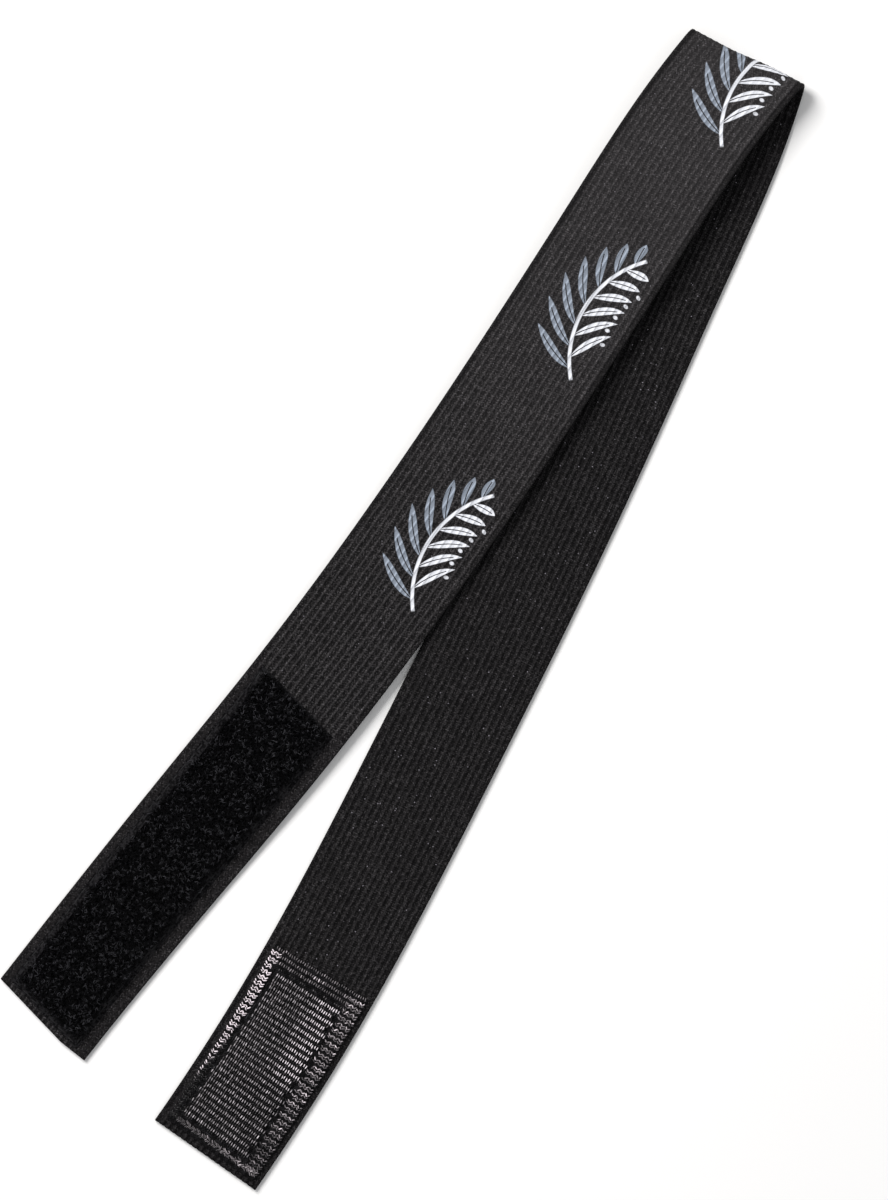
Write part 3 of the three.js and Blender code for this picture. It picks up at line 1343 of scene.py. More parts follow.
@dataclass
class ElasticBand:
    """The strip itself, with its ribs. Millimetres."""

    lay: Lay
    ribs: Ribs = Ribs()
    ridge_depth: float = 0.22
    ridge_flank: tuple[float, float] = (0.95, 0.0)
    groove_depth: float = 0.16
    groove_flank: tuple[float, float] = (-0.3, -0.98)
    ribs_past_edge: float = 0.1
    ribs_fade: float = 0.6
    edge_groove: float = 0.16
    edge_groove_at: float = 13.95
    edge_groove_reach: float = 0.38
    edge_rounding: float = 0.36
    fold_share: float = 0.35
    fold_calm_from: float = 7.0
    fold_calm_to: float = 14.0
    leg_step: float = 1.85
    nose_steps: int = 22
    rib_phases: tuple[float, ...] = (0.0, 0.1, 0.22, 0.36, 0.5, 0.64, 0.78, 0.9)
    edge_places: tuple[float, ...] = (1.4, 1.25, 1.05, 0.85, 0.6, 0.35, 0.15, 0.03, 0.0)

    def places_across(self) -> np.ndarray:
        """Places across the strip, close together on the ribs and round the edges.

        Returns:
            The places, from the right edge to the left one.
        """
        pitch = self.ribs.pitch
        inner = self.lay.width / 2 - self.ribs.plain_edge
        count = round(2 * inner / pitch)
        ribbed = [-inner + (rib + phase) * pitch for rib in range(count) for phase in self.rib_phases]
        edge = self.lay.width / 2 - np.array(self.edge_places)
        return np.concatenate([-edge[::-1], ribbed, [inner], edge])

    def stations(self) -> tuple[np.ndarray, np.ndarray]:
        """Stations along the strip: close together round the fold.

        Returns:
            Their places along the centre line, and the skew of each.
        """
        lay = self.lay
        upper = np.linspace(lay.upper_leg, 0, round(lay.upper_leg / self.leg_step) + 1)[:-1]
        lower = np.linspace(0, lay.lower_leg, round(lay.lower_leg / self.leg_step) + 1)[1:]
        nose = np.linspace(0, 2 * lay.half_nose, self.nose_steps + 1)
        lower_start = lay.length - lay.lower_leg
        along = np.concatenate([lay.upper_leg - upper, lay.upper_leg + nose, lower_start + lower])
        upper_skew = lay.skew_at(upper, lay.upper_leg, lay.cut_slope)
        fold_line = lay.skew_at(np.zeros(len(nose)), lay.upper_leg, 0.0)
        lower_skew = lay.skew_at(lower, lay.lower_leg, 0.0)
        return along, np.concatenate([upper_skew, fold_line, lower_skew])

    def relief_tree(self) -> GeometrySheet:
        """Writes the tree that sinks the valleys between the ribs of both faces.

        Returns:
            The tree, for a mesh with the attributes along, across and side.
        """
        inputs = {
            "Rib pitch": Socket.NUMBER,
            "Ridge depth": Socket.NUMBER,
            "Groove depth": Socket.NUMBER,
            "Edge groove": Socket.NUMBER,
        }
        sheet = GeometrySheet("rib relief", inputs)
        along, across = sheet.named("along"), sheet.named("across")
        outer = sheet.named("side") > 0.0
        peaks = (across / sheet.given("Rib pitch")).wave()
        plain = self.lay.width / 2 - self.ribs.plain_edge + self.ribs_past_edge
        uncovered = 1.0 - outer * (along < self.lay.covered_to)
        ribbed = abs(across).step(plain, plain - self.ribs_fade) * uncovered
        outer_valley = sheet.given("Ridge depth") * peaks.step(*self.ridge_flank)
        inner_valley = sheet.given("Groove depth") * peaks.step(*self.groove_flank)
        valley = inner_valley + (outer_valley - inner_valley) * outer
        off_fold = abs(along - self.lay.fold_station).step(self.fold_calm_from, self.fold_calm_to)
        valley = valley * (self.fold_share + (1.0 - self.fold_share) * off_fold)
        at_groove = abs(abs(across) - self.edge_groove_at).step(self.edge_groove_reach, 0.0)
        edge = at_groove * sheet.given("Edge groove") * uncovered
        depth = (valley * ribbed + edge) * -MM
        normal = sheet.node("GeometryNodeInputNormal").outputs[0]
        offset = sheet.node("ShaderNodeVectorMath", {"operation": "SCALE"}, {0: normal, "Scale": depth})
        inputs = {"Geometry": sheet.given("Geometry"), "Offset": offset.outputs[0]}
        sheet.close(sheet.node("GeometryNodeSetPosition", {}, inputs).outputs[0])
        return sheet

    def build(self) -> bpy.types.Object:
        """Makes the strip and its ribs.

        Returns:
            The finished piece.
        """
        across = self.places_across()
        centre, skew = self.stations()
        along = centre[:, None] + skew[:, None] * across[None, :]
        spread = np.broadcast_to(across, along.shape)
        radius = self.edge_rounding
        into_edge = np.maximum(radius - (self.lay.width / 2 - np.abs(spread)), 0)
        round_off = radius - np.sqrt(np.maximum(radius**2 - into_edge**2, 0))
        half = self.lay.thickness / 2 - round_off
        band = self.lay.sweep("ribbed_elastic", along, spread, -half, half)
        values = {
            "Rib pitch": self.ribs.pitch,
            "Ridge depth": self.ridge_depth,
            "Groove depth": self.groove_depth,
            "Edge groove": self.edge_groove,
            "Material": ElasticFinish(self.lay, self.ribs).material(),
        }
        return self.relief_tree().apply(band, values)


@dataclass(frozen=True)
class Seam:
    """The rectangle of stitches that holds a tape, and how far it draws the tape in. Millimetres.

    Its left side leans: it moves outwards by lean for each unit of run.
    """

    left: float
    right: float
    start: float
    end: float
    lean: float = 0.0
    depth: float = 0.35
    reach: float = 0.9

    @property
    def middle(self) -> float:
        """Run at the middle of the rectangle."""
        return (self.start + self.end) / 2

    def left_at(self, run: np.ndarray) -> np.ndarray:
        """Place across of the left side."""
        return self.left + self.lean * (run - self.middle)

    def distance(self, run: np.ndarray, across: np.ndarray) -> np.ndarray:
        """How far points are from the stitches.

        Args:
            run: the way along the tape.
            across: place across the strip.

        Returns:
            The distance.
        """
        left = self.left_at(run)
        past_run = np.abs(run - self.middle) - (self.end - self.start) / 2
        past_across = np.abs(across - (left + self.right) / 2) - (left - self.right) / 2
        inside = np.maximum(past_run, past_across)
        outside = np.hypot(np.maximum(past_run, 0), np.maximum(past_across, 0))
        return np.where(inside > 0, outside, -inside)

    def dip(self, run: np.ndarray, across: np.ndarray) -> np.ndarray:
        """How far the tape is drawn in at points of it."""
        return self.depth * (1 - smooth(self.distance(run, across), 0.0, self.reach))


@dataclass
class SewnTape:
    """The backing of a patch, sewn flat on one face of the strip. Millimetres."""

    lay: Lay
    name: str
    face: Face
    start: float
    length: float
    width: float
    shift: float
    skew: float
    finish: TapeFinish
    seam: Seam
    thickness: float = 0.9
    bedding: float = 0.12
    edge_drop: float = 0.5
    edge_run: float = 0.6
    edge_slack: float = 0.05
    spacing: Spacing = Spacing()

    @property
    def top(self) -> float:
        """Height of the backing's outer side above the strip's middle surface."""
        return self.lay.thickness / 2 + self.thickness

    def along(self, run: np.ndarray, across: np.ndarray) -> np.ndarray:
        """Place along the strip of points of the tape."""
        return self.start + run + self.skew * across

    def surface(self, run: np.ndarray, across: np.ndarray) -> np.ndarray:
        """Height of the backing's outer side, which dips along the stitches and rounds off at its edges.

        Args:
            run: the way along the tape.
            across: place across the strip.

        Returns:
            The height above the strip's middle surface.
        """
        from_side = self.width / 2 - np.abs(across - self.shift)
        from_edge = np.minimum(from_side, np.minimum(run, self.length - run))
        rounding = self.edge_drop * (1 - smooth(from_edge, -self.edge_slack, self.edge_run))
        return self.top - self.seam.dip(run, across) - rounding

    def plant(self, spots: Spots, height: np.ndarray, face: Face) -> Planting:
        """Points for spots of the tape.

        Args:
            spots: where a shape is set.
            height: from the strip's middle surface, out of the face.
            face: the face of the strip on which the shape stands.

        Returns:
            The points.
        """
        run, across, tone, turn = spots
        along = self.along(run, across)
        return Planting(self.lay, along, across, height * face.value, turn, tone, face)

    def build(self) -> bpy.types.Object:
        """Makes the backing.

        Returns:
            The finished piece.
        """
        places = self.shift + self.spacing.places(-self.width / 2, self.width / 2)
        run, across = np.meshgrid(self.spacing.places(0.0, self.length), places, indexing="ij")
        under = np.full(across.shape, self.lay.thickness / 2 - self.bedding)
        top = self.surface(run, across)
        low, high = (under, top) if self.face is Face.OUTER else (-top, -under)
        made = self.lay.sweep(self.name, self.along(run, across), across, low, high)
        made.data.materials.append(self.finish.material())
        return made


@dataclass
class Stitches:
    """The lockstitch that holds a tape: thread on the tape, and its back on the strip's other face.

    Millimetres.
    """

    tape: SewnTape
    pitch: float = 3.2
    length: float = 2.75
    radius: float = 0.2
    sides: int = 6
    dip: float = 0.25
    sway: float = 0.12
    sink: float = 0.06
    bite: float = 0.1
    seed: int = 11
    scatter: Scatter = Scatter(wander=0.06, seed=5)

    def middles(self, length: float) -> np.ndarray:
        """Middles of the stitches of a seam, from its start."""
        count = round(length / self.pitch)
        return (np.arange(count) + 0.5) * length / count

    def rectangle(self) -> tuple[np.ndarray, np.ndarray, np.ndarray]:
        """The stitches round the tape: its left and right seams, then those across its start and end.

        Returns:
            The run, the place across and the turn of each.
        """
        seam = self.tape.seam
        run = seam.start + self.middles(seam.end - seam.start)
        place = seam.right + self.middles(seam.left - seam.right)
        at_start, at_end = np.full(len(place), seam.start), np.full(len(place), seam.end)
        right = np.full(len(run), seam.right)
        turns = np.repeat([0.0, math.pi / 2], [2 * len(run), 2 * len(place)])
        runs = np.concatenate([run, run, at_start, at_end])
        return runs, np.concatenate([seam.left_at(run), right, place, place]), turns

    def hole_distance(self, run: np.ndarray, across: np.ndarray) -> np.ndarray:
        """How far points are from the nearest needle hole, at the ends of the stitches.

        Args:
            run: the way along the tape.
            across: place across the strip.

        Returns:
            The distance.
        """
        middles, places, turns = self.rectangle()
        holes_run = middles + np.cos(turns) * self.pitch / 2
        holes_across = places + np.sin(turns) * self.pitch / 2
        apart = np.hypot(run[:, None] - holes_run, across[:, None] - holes_across)
        return apart.min(axis=1)

    def build(self, name: str, finish: YarnFinish) -> list[bpy.types.Object]:
        """Makes the stitches of both faces.

        Args:
            name: what the names of the pieces start with.
            finish: the thread.

        Returns:
            The front and the back.
        """
        tape = self.tape
        rng = np.random.default_rng(self.seed)
        run, across, turn = self.rectangle()
        across = across + rng.uniform(-self.sway, self.sway, len(across))
        spots = Spots(run, across, rng.uniform(0.0, 1.0, len(run)), turn)
        on_tape = tape.surface(run, across) - self.sink
        on_strip = np.full(len(run), tape.lay.thickness / 2 - self.radius - self.bite)
        front = tape.plant(spots, on_tape, tape.face)
        back = tape.plant(spots, on_strip, Face(-tape.face.value))
        shape = capsule(self.length, self.radius, self.sides, self.dip)
        material = finish.material()
        return [
            front.build(f"{name}_front", shape, material, self.scatter),
            back.build(f"{name}_back", shape, material, self.scatter),
        ]


class LoopSize(NamedTuple):
    """One shape of pile loop: from foot to foot, up to its top, and how far it curls sideways."""

    span: float
    height: float
    curl: float


@dataclass
class LoopPatch:
    """The soft patch: a backing tape with a dense pile of curled loops. Millimetres.

    A loop sways and curls in half waves, and its bends say how many.
    """

    lay: Lay
    width: float = 24.5
    shift: float = 0.5
    seam: Seam = Seam(left=12.1, right=-10.6, start=0.8, end=97.7, depth=0.2)
    edge_drop: float = 0.85
    edge_run: float = 1.6
    mat_inset: float = 0.3
    mat_sink: float = 0.2
    mat_height: float = 0.75
    mat_edge_share: float = 0.25
    mat_edge: float = 0.6
    mat_rough: float = 0.09
    mat_least: float = 0.05
    mat_seed: int = 3
    mat_spacing: Spacing = Spacing((0.0, 0.12, 0.3), 0.7, 0.6, 0.55)
    pile_left: float = 11.1
    pile_right: float = -9.4
    pile_start: float = 2.2
    pile_end: float = 98.4
    pile_lift: float = 0.35
    pile_seed: int = 20
    ragged_waves: tuple[tuple[float, float, float], ...] = ((0.5, 1.1, 0.0), (0.4, 0.47, 1.0))
    ragged_spread: float = 0.3
    ragged_from: float = 6.0
    ragged_to: float = 10.0
    loop_spacing: float = 0.76
    loop_radius: float = 0.085
    loop_sides: int = 3
    loop_steps: int = 7
    loop_sway: float = 0.18
    loop_sway_bends: float = 3.0
    loop_curl_bends: float = 2.4
    loop_curl_start: float = 0.5
    loop_arch_power: float = 0.7
    loop_foot: float = 0.15
    loop_sizes: tuple[LoopSize, ...] = (
        LoopSize(0.95, 0.95, 0.22),
        LoopSize(0.75, 1.1, 0.3),
        LoopSize(1.2, 0.85, 0.3),
        LoopSize(0.6, 1.0, 0.4),
    )
    # painted glints: the share of loops painted bright, and their tones
    glint_share: float = 0.2
    glint_tones: tuple[float, float] = (0.3, 1.0)
    dark_tones: tuple[float, float] = (0.0, 0.1)
    scatter: Scatter = Scatter(lean=0.5, change=0.3, seed=40)
    finish: TapeFinish = TapeFinish(
        "loop backing",
        pitches=(0.62, 0.5),
        dark=(0.0015, 0.0015, 0.0018),
        light=(0.0165, 0.016, 0.0175),
        roughness=0.85,
        specular=0.05,
    )
    mat_finish: TapeFinish = TapeFinish(
        "pile ground",
        pitches=(0.5, 0.45),
        dark=(0.0004, 0.0004, 0.0005),
        light=(0.003, 0.003, 0.0035),
        roughness=1.0,
        specular=0.0,
    )
    pile_finish: YarnFinish = YarnFinish(
        "pile yarn", (0.0006, 0.0006, 0.0008), (0.050, 0.050, 0.056), roughness=0.65, specular=0.05
    )
    thread: YarnFinish = YarnFinish(
        "loop thread", (0.004, 0.004, 0.005), (0.012, 0.012, 0.013), roughness=0.7, specular=0.2
    )

    @cached_property
    def tape(self) -> SewnTape:
        """The backing tape, with its place on the strip.

        Returns:
            The tape.
        """
        return SewnTape(
            lay=self.lay,
            name="loop_backing",
            face=Face.OUTER,
            start=self.lay.loop_patch_start,
            length=self.lay.loop_patch_length,
            width=self.width,
            shift=self.shift,
            skew=self.lay.cut_slope,
            finish=self.finish,
            seam=self.seam,
            edge_drop=self.edge_drop,
            edge_run=self.edge_run,
        )

    def mat(self) -> bpy.types.Object:
        """Makes the uneven ground of the pile, which closes the gaps between its loops.

        Returns:
            The finished piece.
        """
        tape, inset = self.tape, self.mat_inset
        start, end = self.pile_start + inset, self.pile_end - inset
        low, high = self.pile_right + inset, self.pile_left - inset
        places = self.mat_spacing.places(low, high)
        run, across = np.meshgrid(self.mat_spacing.places(start, end), places, indexing="ij")
        from_edge = np.minimum(np.minimum(across - low, high - across), np.minimum(run - start, end - run))
        swell = self.mat_edge_share + (1 - self.mat_edge_share) * smooth(from_edge, 0.0, self.mat_edge)
        rough = np.random.default_rng(self.mat_seed).normal(0, self.mat_rough, across.shape)
        top = tape.top + np.maximum(self.mat_height * swell + rough, self.mat_least)
        base = np.full(across.shape, tape.top - self.mat_sink)
        made = self.lay.sweep("loop_mat", tape.along(run, across), across, base, top)
        made.data.materials.append(self.mat_finish.material())
        return made

    def loop(self, size: LoopSize) -> Shape:
        """One curled loop of the pile.

        Args:
            size: its size.

        Returns:
            The vertices and the faces.
        """
        share = np.linspace(0, 1, self.loop_steps)
        x = size.span * (share - 0.5) + self.loop_sway * np.sin(share * self.loop_sway_bends * math.pi)
        y = size.curl * np.sin(share * self.loop_curl_bends * math.pi + self.loop_curl_start)
        z = size.height * np.sin(share * math.pi) ** self.loop_arch_power - self.loop_foot
        return tube(np.column_stack([x, y, z]), self.loop_radius, self.loop_sides)

    def loop_spots(self, rng: np.random.Generator) -> Spots:
        """Where the loops of one shape stand: scattered, and ragged towards the sides of the pile.

        Args:
            rng: gives the random numbers.

        Returns:
            The spots. Most loops are dark and a few are painted bright: painted glints on strands that catch
            the light.
        """
        run, across = np.meshgrid(
            np.arange(self.pile_start, self.pile_end, self.loop_spacing),
            np.arange(self.pile_right, self.pile_left, self.loop_spacing),
        )
        count = run.size
        run = run.ravel() + rng.uniform(-0.5, 0.5, count) * self.loop_spacing
        across = across.ravel() + rng.uniform(-0.5, 0.5, count) * self.loop_spacing
        ragged = sum(size * np.sin(run * pace + phase) for size, pace, phase in self.ragged_waves)
        ragged = ragged + rng.normal(0, self.ragged_spread, count)
        from_middle = np.abs(across - (self.pile_left + self.pile_right) / 2)
        across = across + ragged * smooth(from_middle, self.ragged_from, self.ragged_to)
        turn = rng.uniform(0, math.tau, count)
        # painted glints: a share of the loops is painted bright
        bright = rng.random(count) < self.glint_share
        light, dark = (rng.uniform(*tones, count) for tones in (self.glint_tones, self.dark_tones))
        return Spots(run, across, np.where(bright, light, dark), turn)

    def pile(self) -> list[bpy.types.Object]:
        """Makes the pile.

        Returns:
            One piece for each shape of loop.
        """
        material = self.pile_finish.material()
        made = []
        for number, size in enumerate(self.loop_sizes):
            spots = self.loop_spots(np.random.default_rng(self.pile_seed + number))
            ground = np.full(len(spots.run), self.tape.top + self.pile_lift)
            planting = self.tape.plant(spots, ground, Face.OUTER)
            scatter = replace(self.scatter, seed=self.scatter.seed + number)
            made.append(planting.build(f"loop_pile_{number + 1}", self.loop(size), material, scatter))
        return made

    def build(self) -> list[bpy.types.Object]:
        """Makes the whole patch, the backing first."""
        backing, mat, pile = self.tape.build(), self.mat(), self.pile()
        return [backing, mat, *pile, *Stitches(self.tape).build("loop_stitches", self.thread)]


@dataclass(frozen=True)
class FloatRow:
    """A row of short floats across the hook tape. Lengths in millimetres, the turn in radians."""

    run: float
    right: float
    left: float
    pitch: float
    tone: float
    turn: float = 0.0
    stray: float = 0.07


@dataclass(frozen=True)
class Selvage:
    """A woven edge of the hook tape: columns of slanted floats, with a fainter second one in each row.

    Along the tape its painted sheen falls by rise between sheen_full_to and sheen_gone_from: the floats are
    painted lighter where they catch the light. That comes earlier by drift in each further column.
    Millimetres.
    """

    columns: tuple[float, ...]
    second: float
    least: float
    rise: float
    sheen_full_to: float
    sheen_gone_from: float
    drift: float = 0.0

    def strength(self, run: np.ndarray, number: int) -> np.ndarray:
        """How light the floats of a column are painted, a painted sheen."""
        shift = self.drift * number
        return self.least + self.rise * smooth(run, self.sheen_gone_from - shift, self.sheen_full_to - shift)


@dataclass
class HookPatch:
    """The stiff patch: a woven nylon tape with rows of small hooks between two herringbone edges.

    Lengths in millimetres, tones from 0 to 1.
    """

    lay: Lay
    inset: float = 1.7
    length: float = 51.5
    width: float = 26.2
    shift: float = -0.17
    skew: float = -0.025
    seam: Seam = Seam(left=10.25, right=-8.95, start=5.0, end=48.5, lean=0.024)
    row_start: float = 6.3
    row_pitch: float = 1.696
    rows: int = 25
    column_pitch: float = 0.61
    field_left: float = 9.2
    field_right: float = -8.75
    field_widening: float = 1.2
    widening_from: float = 8.0
    widening_to: float = 42.0
    hole_reach: float = 0.85
    hook_line: tuple[tuple[float, float], ...] = (
        (0.0, -0.3),
        (0.0, 0.5),
        (0.05, 0.9),
        (0.2, 1.15),
        (0.42, 1.22),
        (0.62, 1.08),
        (0.7, 0.85),
    )
    hook_middle: float = 0.32
    hook_radius: float = 0.13
    hook_sides: int = 5
    hook_stray: float = 0.05
    hook_tone: float = 0.13
    odd_hook_tone: float = 0.17
    hook_spread: float = 0.11
    # painted sheen: how much lighter the hooks are painted on the right of the field, near the tape's start
    sheen_hooks: tuple[float, float] = (0.5, 1.8)
    sheen_side: tuple[float, float] = (0.0, -7.0)
    sheen_run: tuple[float, float] = (32.0, 22.0)
    hook_seed: int = 7
    hook_scatter: Scatter = Scatter(lean=0.08, wander=0.15, change=0.1, seed=60)
    float_length: float = 0.8
    float_dip: float = 0.12
    float_sides: int = 5
    float_least: float = 0.4
    ground_radius: float = 0.14
    ground_lift: float = 0.02
    ground_spread: float = 0.7
    ground_turn: float = 0.15
    ground_seed: int = 8
    field_turn: float = 0.1
    field_least: float = 0.015
    field_rise: float = 0.05
    field_slant: float = 0.3
    field_lit: tuple[float, float] = (-12.0, 4.0)
    ground_scatter: Scatter = Scatter(wander=0.1, change=0.15, seed=61)
    ground_rows: tuple[FloatRow, ...] = (
        FloatRow(0.45, -12.9, 12.6, 0.61, 0.16),
        FloatRow(2.0, -12.9, 12.6, 0.61, 0.19),
        FloatRow(3.5, -12.9, 12.6, 0.61, 0.13),
        FloatRow(5.0, -9.85, 9.4, 0.61, 0.05),
        FloatRow(49.3, -3.0, 10.5, 0.42, 0.10, 0.5, 0.15),
        FloatRow(50.0, -3.0, 10.5, 0.42, 0.07, -0.5, 0.15),
        FloatRow(49.0, -12.7, -2.5, 0.55, 0.16, 0.9, 0.15),
        FloatRow(49.6, -12.7, -2.5, 0.55, 0.24, -0.9, 0.15),
        FloatRow(50.2, -12.7, -2.5, 0.55, 0.16, 0.9, 0.15),
    )
    edge_radius: float = 0.15
    edge_lift: float = 0.06
    edge_start: float = 1.7
    edge_end: float = 2.0
    edge_turn: float = 0.7
    edge_stray: tuple[float, float] = (0.05, 0.06)
    edge_tone: float = 0.012
    edge_spread: float = 0.5
    edge_seed: int = 9
    second_float: float = 0.6
    edge_scatter: Scatter = Scatter(wander=0.25, change=0.2, seed=62)
    selvages: tuple[Selvage, ...] = (
        Selvage(
            columns=(12.6, 11.95, 11.3, 10.7),
            second=0.7,
            least=0.0,
            rise=1.6,
            sheen_full_to=31.0,
            sheen_gone_from=41.0,
            drift=5.5,
        ),
        Selvage(
            columns=(-9.6, -10.3, -11.0, -11.7, -12.4, -13.0),
            second=0.3,
            least=0.16,
            rise=0.31,
            sheen_full_to=30.0,
            sheen_gone_from=44.0,
        ),
    )
    finish: TapeFinish = TapeFinish(
        "hook backing",
        pitches=(0.61, 0.82),
        dark=(0.001, 0.001, 0.0012),
        light=(0.0085, 0.008, 0.009),
        roughness=0.7,
        specular=0.08,
    )
    # painted glints: the light end of the hook filament and the tape yarn is near-white, so the strands'
    # tones paint highlights on black nylon
    hook_finish: YarnFinish = YarnFinish(
        "hook filament", (0.004, 0.004, 0.0045), (0.95, 0.88, 0.93), roughness=0.3, specular=0.5
    )
    float_finish: YarnFinish = YarnFinish(
        "hook tape yarn", (0.003, 0.003, 0.0035), (0.95, 0.86, 0.91), roughness=0.35, specular=0.4
    )
    thread: YarnFinish = YarnFinish(
        "hook thread", (0.0008, 0.0008, 0.001), (0.018, 0.018, 0.022), roughness=0.6, specular=0.15
    )

    @cached_property
    def tape(self) -> SewnTape:
        """The backing tape, with its place on the strip.

        Returns:
            The tape.
        """
        return SewnTape(
            lay=self.lay,
            name="hook_backing",
            face=Face.INNER,
            start=self.lay.length - self.inset - self.length,
            length=self.length,
            width=self.width,
            shift=self.shift,
            skew=self.skew,
            finish=self.finish,
            seam=self.seam,
        )

    def hook(self) -> Shape:
        """One hook, which stands up and bends over along X."""
        path = [(x - self.hook_middle, 0.0, z) for x, z in self.hook_line]
        return tube(np.array(path), self.hook_radius, self.hook_sides)

    def plant(self, spots: Spots, lift: float) -> Planting:
        """Points on the backing, clear of the needle holes.

        Args:
            spots: where a shape would be set.
            lift: height above the backing.

        Returns:
            The points that are left.
        """
        clear = Stitches(self.tape).hole_distance(spots.run, spots.across) > self.hole_reach
        run, across, tone, turn = (values[clear] for values in spots)
        height = self.tape.surface(run, across) + lift
        return self.tape.plant(Spots(run, across, np.clip(tone, 0, 1), turn), height, Face.INNER)

    def field(self, offset: float) -> tuple[np.ndarray, np.ndarray, np.ndarray]:
        """Points of the field, which gets wider along the tape.

        Args:
            offset: how many rows further down the tape they are.

        Returns:
            The run, the place across and the column's number of each.
        """
        rows = self.row_start + (np.arange(self.rows) + offset) * self.row_pitch
        columns = np.arange(self.field_right, self.field_left + self.field_widening, self.column_pitch)
        run, across = (values.ravel() for values in np.meshgrid(rows, columns, indexing="ij"))
        number = np.round((across - self.field_right) / self.column_pitch).astype(int)
        widening = self.field_widening * smooth(run, self.widening_from, self.widening_to)
        kept = across < self.field_left + widening
        return run[kept], across[kept], number[kept]

    def hooks(self) -> bpy.types.Object:
        """Makes the field of hooks. Every second column bends the other way, and the right side is painted
        lighter, a painted sheen.

        Returns:
            The finished piece.
        """
        run, across, column = self.field(0.0)
        count = len(run)
        rng = np.random.default_rng(self.hook_seed)
        odd = column % 2
        # painted sheen: the hooks on the right of the field are painted lighter
        light = smooth(across, *self.sheen_side) * smooth(run, *self.sheen_run)
        tone = self.hook_tone + self.odd_hook_tone * odd + light * rng.uniform(*self.sheen_hooks, count)
        tone = tone + rng.exponential(self.hook_spread, count)
        run = run + rng.normal(0, self.hook_stray, count)
        spots = Spots(run, across, tone, math.pi * odd)
        material = self.hook_finish.material()
        return self.plant(spots, 0.0).build("hook_field", self.hook(), material, self.hook_scatter)

    def ground(self) -> bpy.types.Object:
        """Makes the short floats of the ground weave: in the rows at both ends, and between the hooks.

        Returns:
            The finished piece.
        """
        rng = np.random.default_rng(self.ground_seed)
        parts = []
        for row in self.ground_rows:
            across = np.arange(row.right, row.left, row.pitch)
            count = len(across)
            tone = row.tone * (self.float_least + rng.exponential(self.ground_spread, count))
            run = row.run + rng.normal(0, row.stray, count)
            parts.append(Spots(run, across, tone, row.turn + rng.normal(0, self.ground_turn, count)))
        run, across, _ = self.field(0.5)
        lit = smooth(across - self.field_slant * run, *self.field_lit)
        tone = (self.field_least + self.field_rise * lit) * rng.exponential(1.0, len(run))
        parts.append(Spots(run, across, tone, rng.normal(0, self.field_turn, len(run))))
        shape = capsule(self.float_length, self.ground_radius, self.float_sides, self.float_dip)
        planting = self.plant(Spots.joined(parts), self.ground_lift)
        return planting.build("hook_ground", shape, self.float_finish.material(), self.ground_scatter)

    def herringbone(self) -> bpy.types.Object:
        """Makes the slanted floats of both edges of the tape.

        Returns:
            The finished piece.
        """
        rng = np.random.default_rng(self.edge_seed)
        stray_run, stray_across = self.edge_stray
        rows = np.arange(self.edge_start, self.length - self.edge_end, self.row_pitch)
        count = len(rows)
        parts = []
        for selvage in self.selvages:
            for number, column in enumerate(selvage.columns):
                slant = self.edge_turn if number % 2 else -self.edge_turn
                turn = np.full(count, math.pi / 2 + slant)
                for offset, weight in ((0.0, 1.0), (self.second_float, selvage.second)):
                    run = rows + offset + rng.normal(0, stray_run, count)
                    uneven = self.float_least + rng.exponential(self.edge_spread, count)
                    tone = weight * (self.edge_tone + selvage.strength(run, number) * uneven)
                    parts.append(Spots(run, column + rng.normal(0, stray_across, count), tone, turn))
        shape = capsule(self.float_length, self.edge_radius, self.float_sides, self.float_dip)
        planting = self.plant(Spots.joined(parts), self.edge_lift)
        return planting.build("hook_herringbone", shape, self.float_finish.material(), self.edge_scatter)

    def build(self) -> list[bpy.types.Object]:
        """Makes the whole patch, the backing first."""
        stitches = Stitches(self.tape).build("hook_stitches", self.thread)
        return [self.tape.build(), self.ground(), self.herringbone(), self.hooks(), *stitches]


# The set


@dataclass(frozen=True)
class SoftLight:
    """A square lamp that faces the origin. Metres and watts."""

    name: str
    place: tuple[float, float, float]
    size: float
    power: float
    colour: Colour

    def build(self) -> None:
        """Adds the light to the scene."""
        lamp = bpy.data.lights.new(self.name, "AREA")
        lamp.size = self.size
        lamp.energy = self.power
        lamp.color = self.colour
        made = bpy.data.objects.new(self.name, lamp)
        made.location = self.place
        x, y, z = self.place
        made.rotation_euler = (math.atan2(math.hypot(x, y), z), 0.0, math.atan2(-x, y) + math.pi)
        bpy.context.scene.collection.objects.link(made)


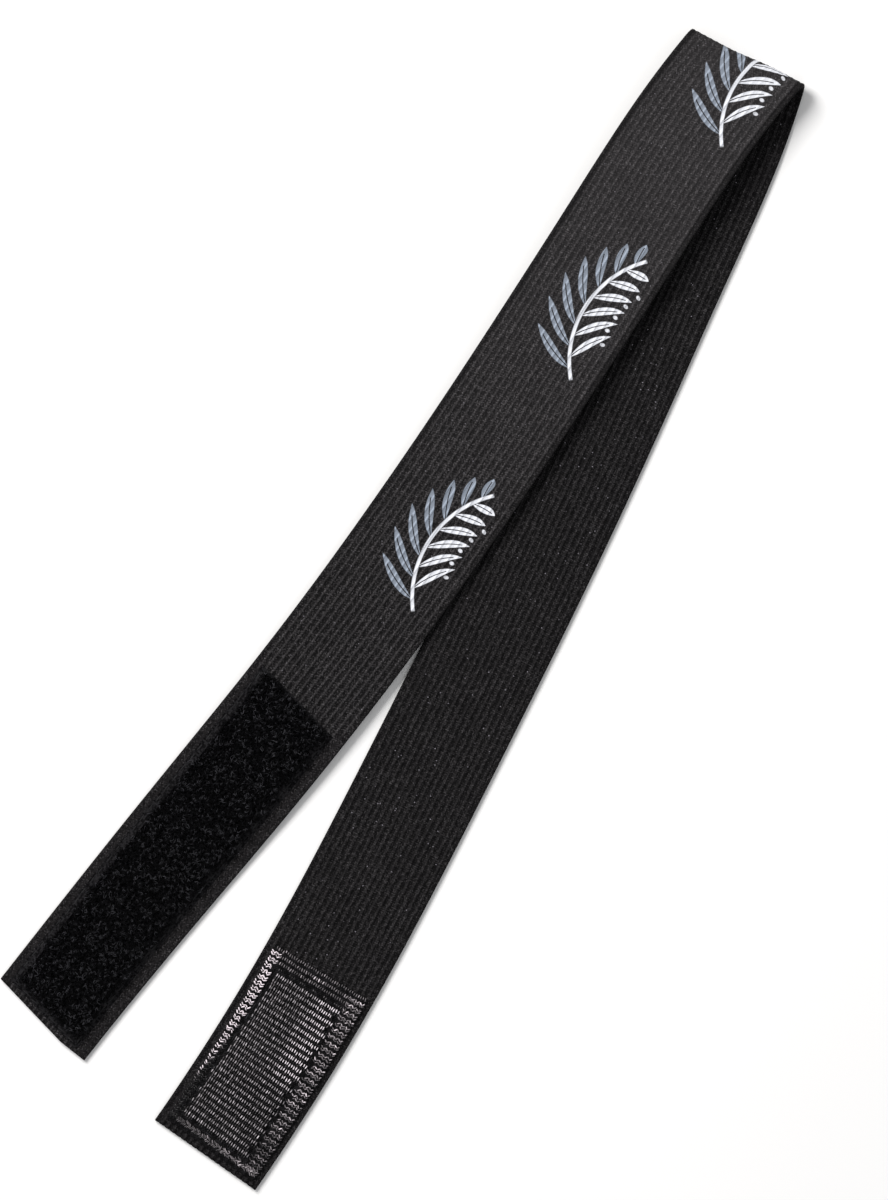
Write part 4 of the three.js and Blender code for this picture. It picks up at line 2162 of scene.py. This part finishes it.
@dataclass(frozen=True)
class Studio:
    """Floor, lights and camera. Metres, the picture's turn in degrees."""

    centre: tuple[float, float] = (-0.00255, -0.00415)
    picture_height: float = 0.2939
    picture_turn: float = -58.8
    camera_height: float = 2.0
    camera_reach: float = 20.0
    sensor: float = 36.0
    floor_size: float = 6.0
    floor_tones: tuple[Colour, Colour] = ((0.9, 0.9, 0.9), (0.92, 0.92, 0.92))
    floor_patches: float = 3.0
    floor_roughness: float = 0.8
    floor_specular: float = 0.1
    world_strength: float = 0.42
    lights: tuple[SoftLight, ...] = (
        SoftLight("key", (0.28, 1.05, 1.05), 0.7, 26.0, (1.0, 0.985, 0.97)),
        SoftLight("fill", (-0.9, -0.5, 0.9), 0.9, 2.0, (0.93, 0.95, 1.0)),
    )

    def floor(self) -> bpy.types.Object:
        """Makes the pale floor.

        Returns:
            The floor.
        """
        half = self.floor_size / 2
        corners = np.array([[-half, -half, 0], [half, -half, 0], [half, half, 0], [-half, half, 0]])
        made = mesh_object("floor", corners, [(0, 1, 2, 3)])
        sheet = ShaderSheet("pale floor", {"Specular IOR Level": self.floor_specular})
        place = sheet.node("ShaderNodeTexCoord").outputs["Object"]
        patches = sheet.noise(place, self.floor_patches)
        sheet.finish(sheet.mix(patches, *self.floor_tones), self.floor_roughness)
        made.data.materials.append(sheet.material)
        return made

    def build(self) -> None:
        """Makes the lights, the world and the camera."""
        scene = bpy.context.scene
        for light in self.lights:
            light.build()

        world = bpy.data.worlds.new("studio")
        world.use_nodes = True
        background = world.node_tree.nodes["Background"]
        background.inputs["Color"].default_value = (1.0, 1.0, 1.0, 1.0)
        background.inputs["Strength"].default_value = self.world_strength
        scene.world = world
        scene.view_settings.view_transform = "Standard"

        lens = bpy.data.cameras.new("camera")
        lens.sensor_width = self.sensor
        lens.lens = self.sensor * self.camera_height / self.picture_height
        lens.clip_end = self.camera_reach
        camera = bpy.data.objects.new("camera", lens)
        camera.location = (*self.centre, self.camera_height)
        camera.rotation_euler = (0.0, 0.0, math.radians(self.picture_turn))
        scene.collection.objects.link(camera)
        scene.camera = camera


def settle(piece: bpy.types.Object) -> None:
    """Puts a finished piece on the band's body and reports it.

    Args:
        piece: the finished piece.
    """
    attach(piece, BODY)
    LOG.info("%s: %d faces", piece.name, len(piece.data.polygons))


def main() -> None:
    """Builds the set and the pieces in order."""
    logging.basicConfig(level=logging.INFO, format="%(message)s")
    studio = Studio()
    floor = studio.floor()
    studio.build()

    lay = Lay()
    band = ElasticBand(lay).build()
    settle(band)
    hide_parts("elastic_band")

    on_band = []
    patches = ((LoopPatch(lay), Slot.LOOP_PILE, "loop_tape"), (HookPatch(lay), Slot.HOOK_NYLON, "hook_tape"))
    for patch, slot, node in patches:
        pieces = patch.build()
        for piece in pieces:
            settle(piece)
        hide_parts(node)
        on_band += pieces

    flat = (lay.width * MM, lay.length * MM)


if __name__ == "__main__":
    main()
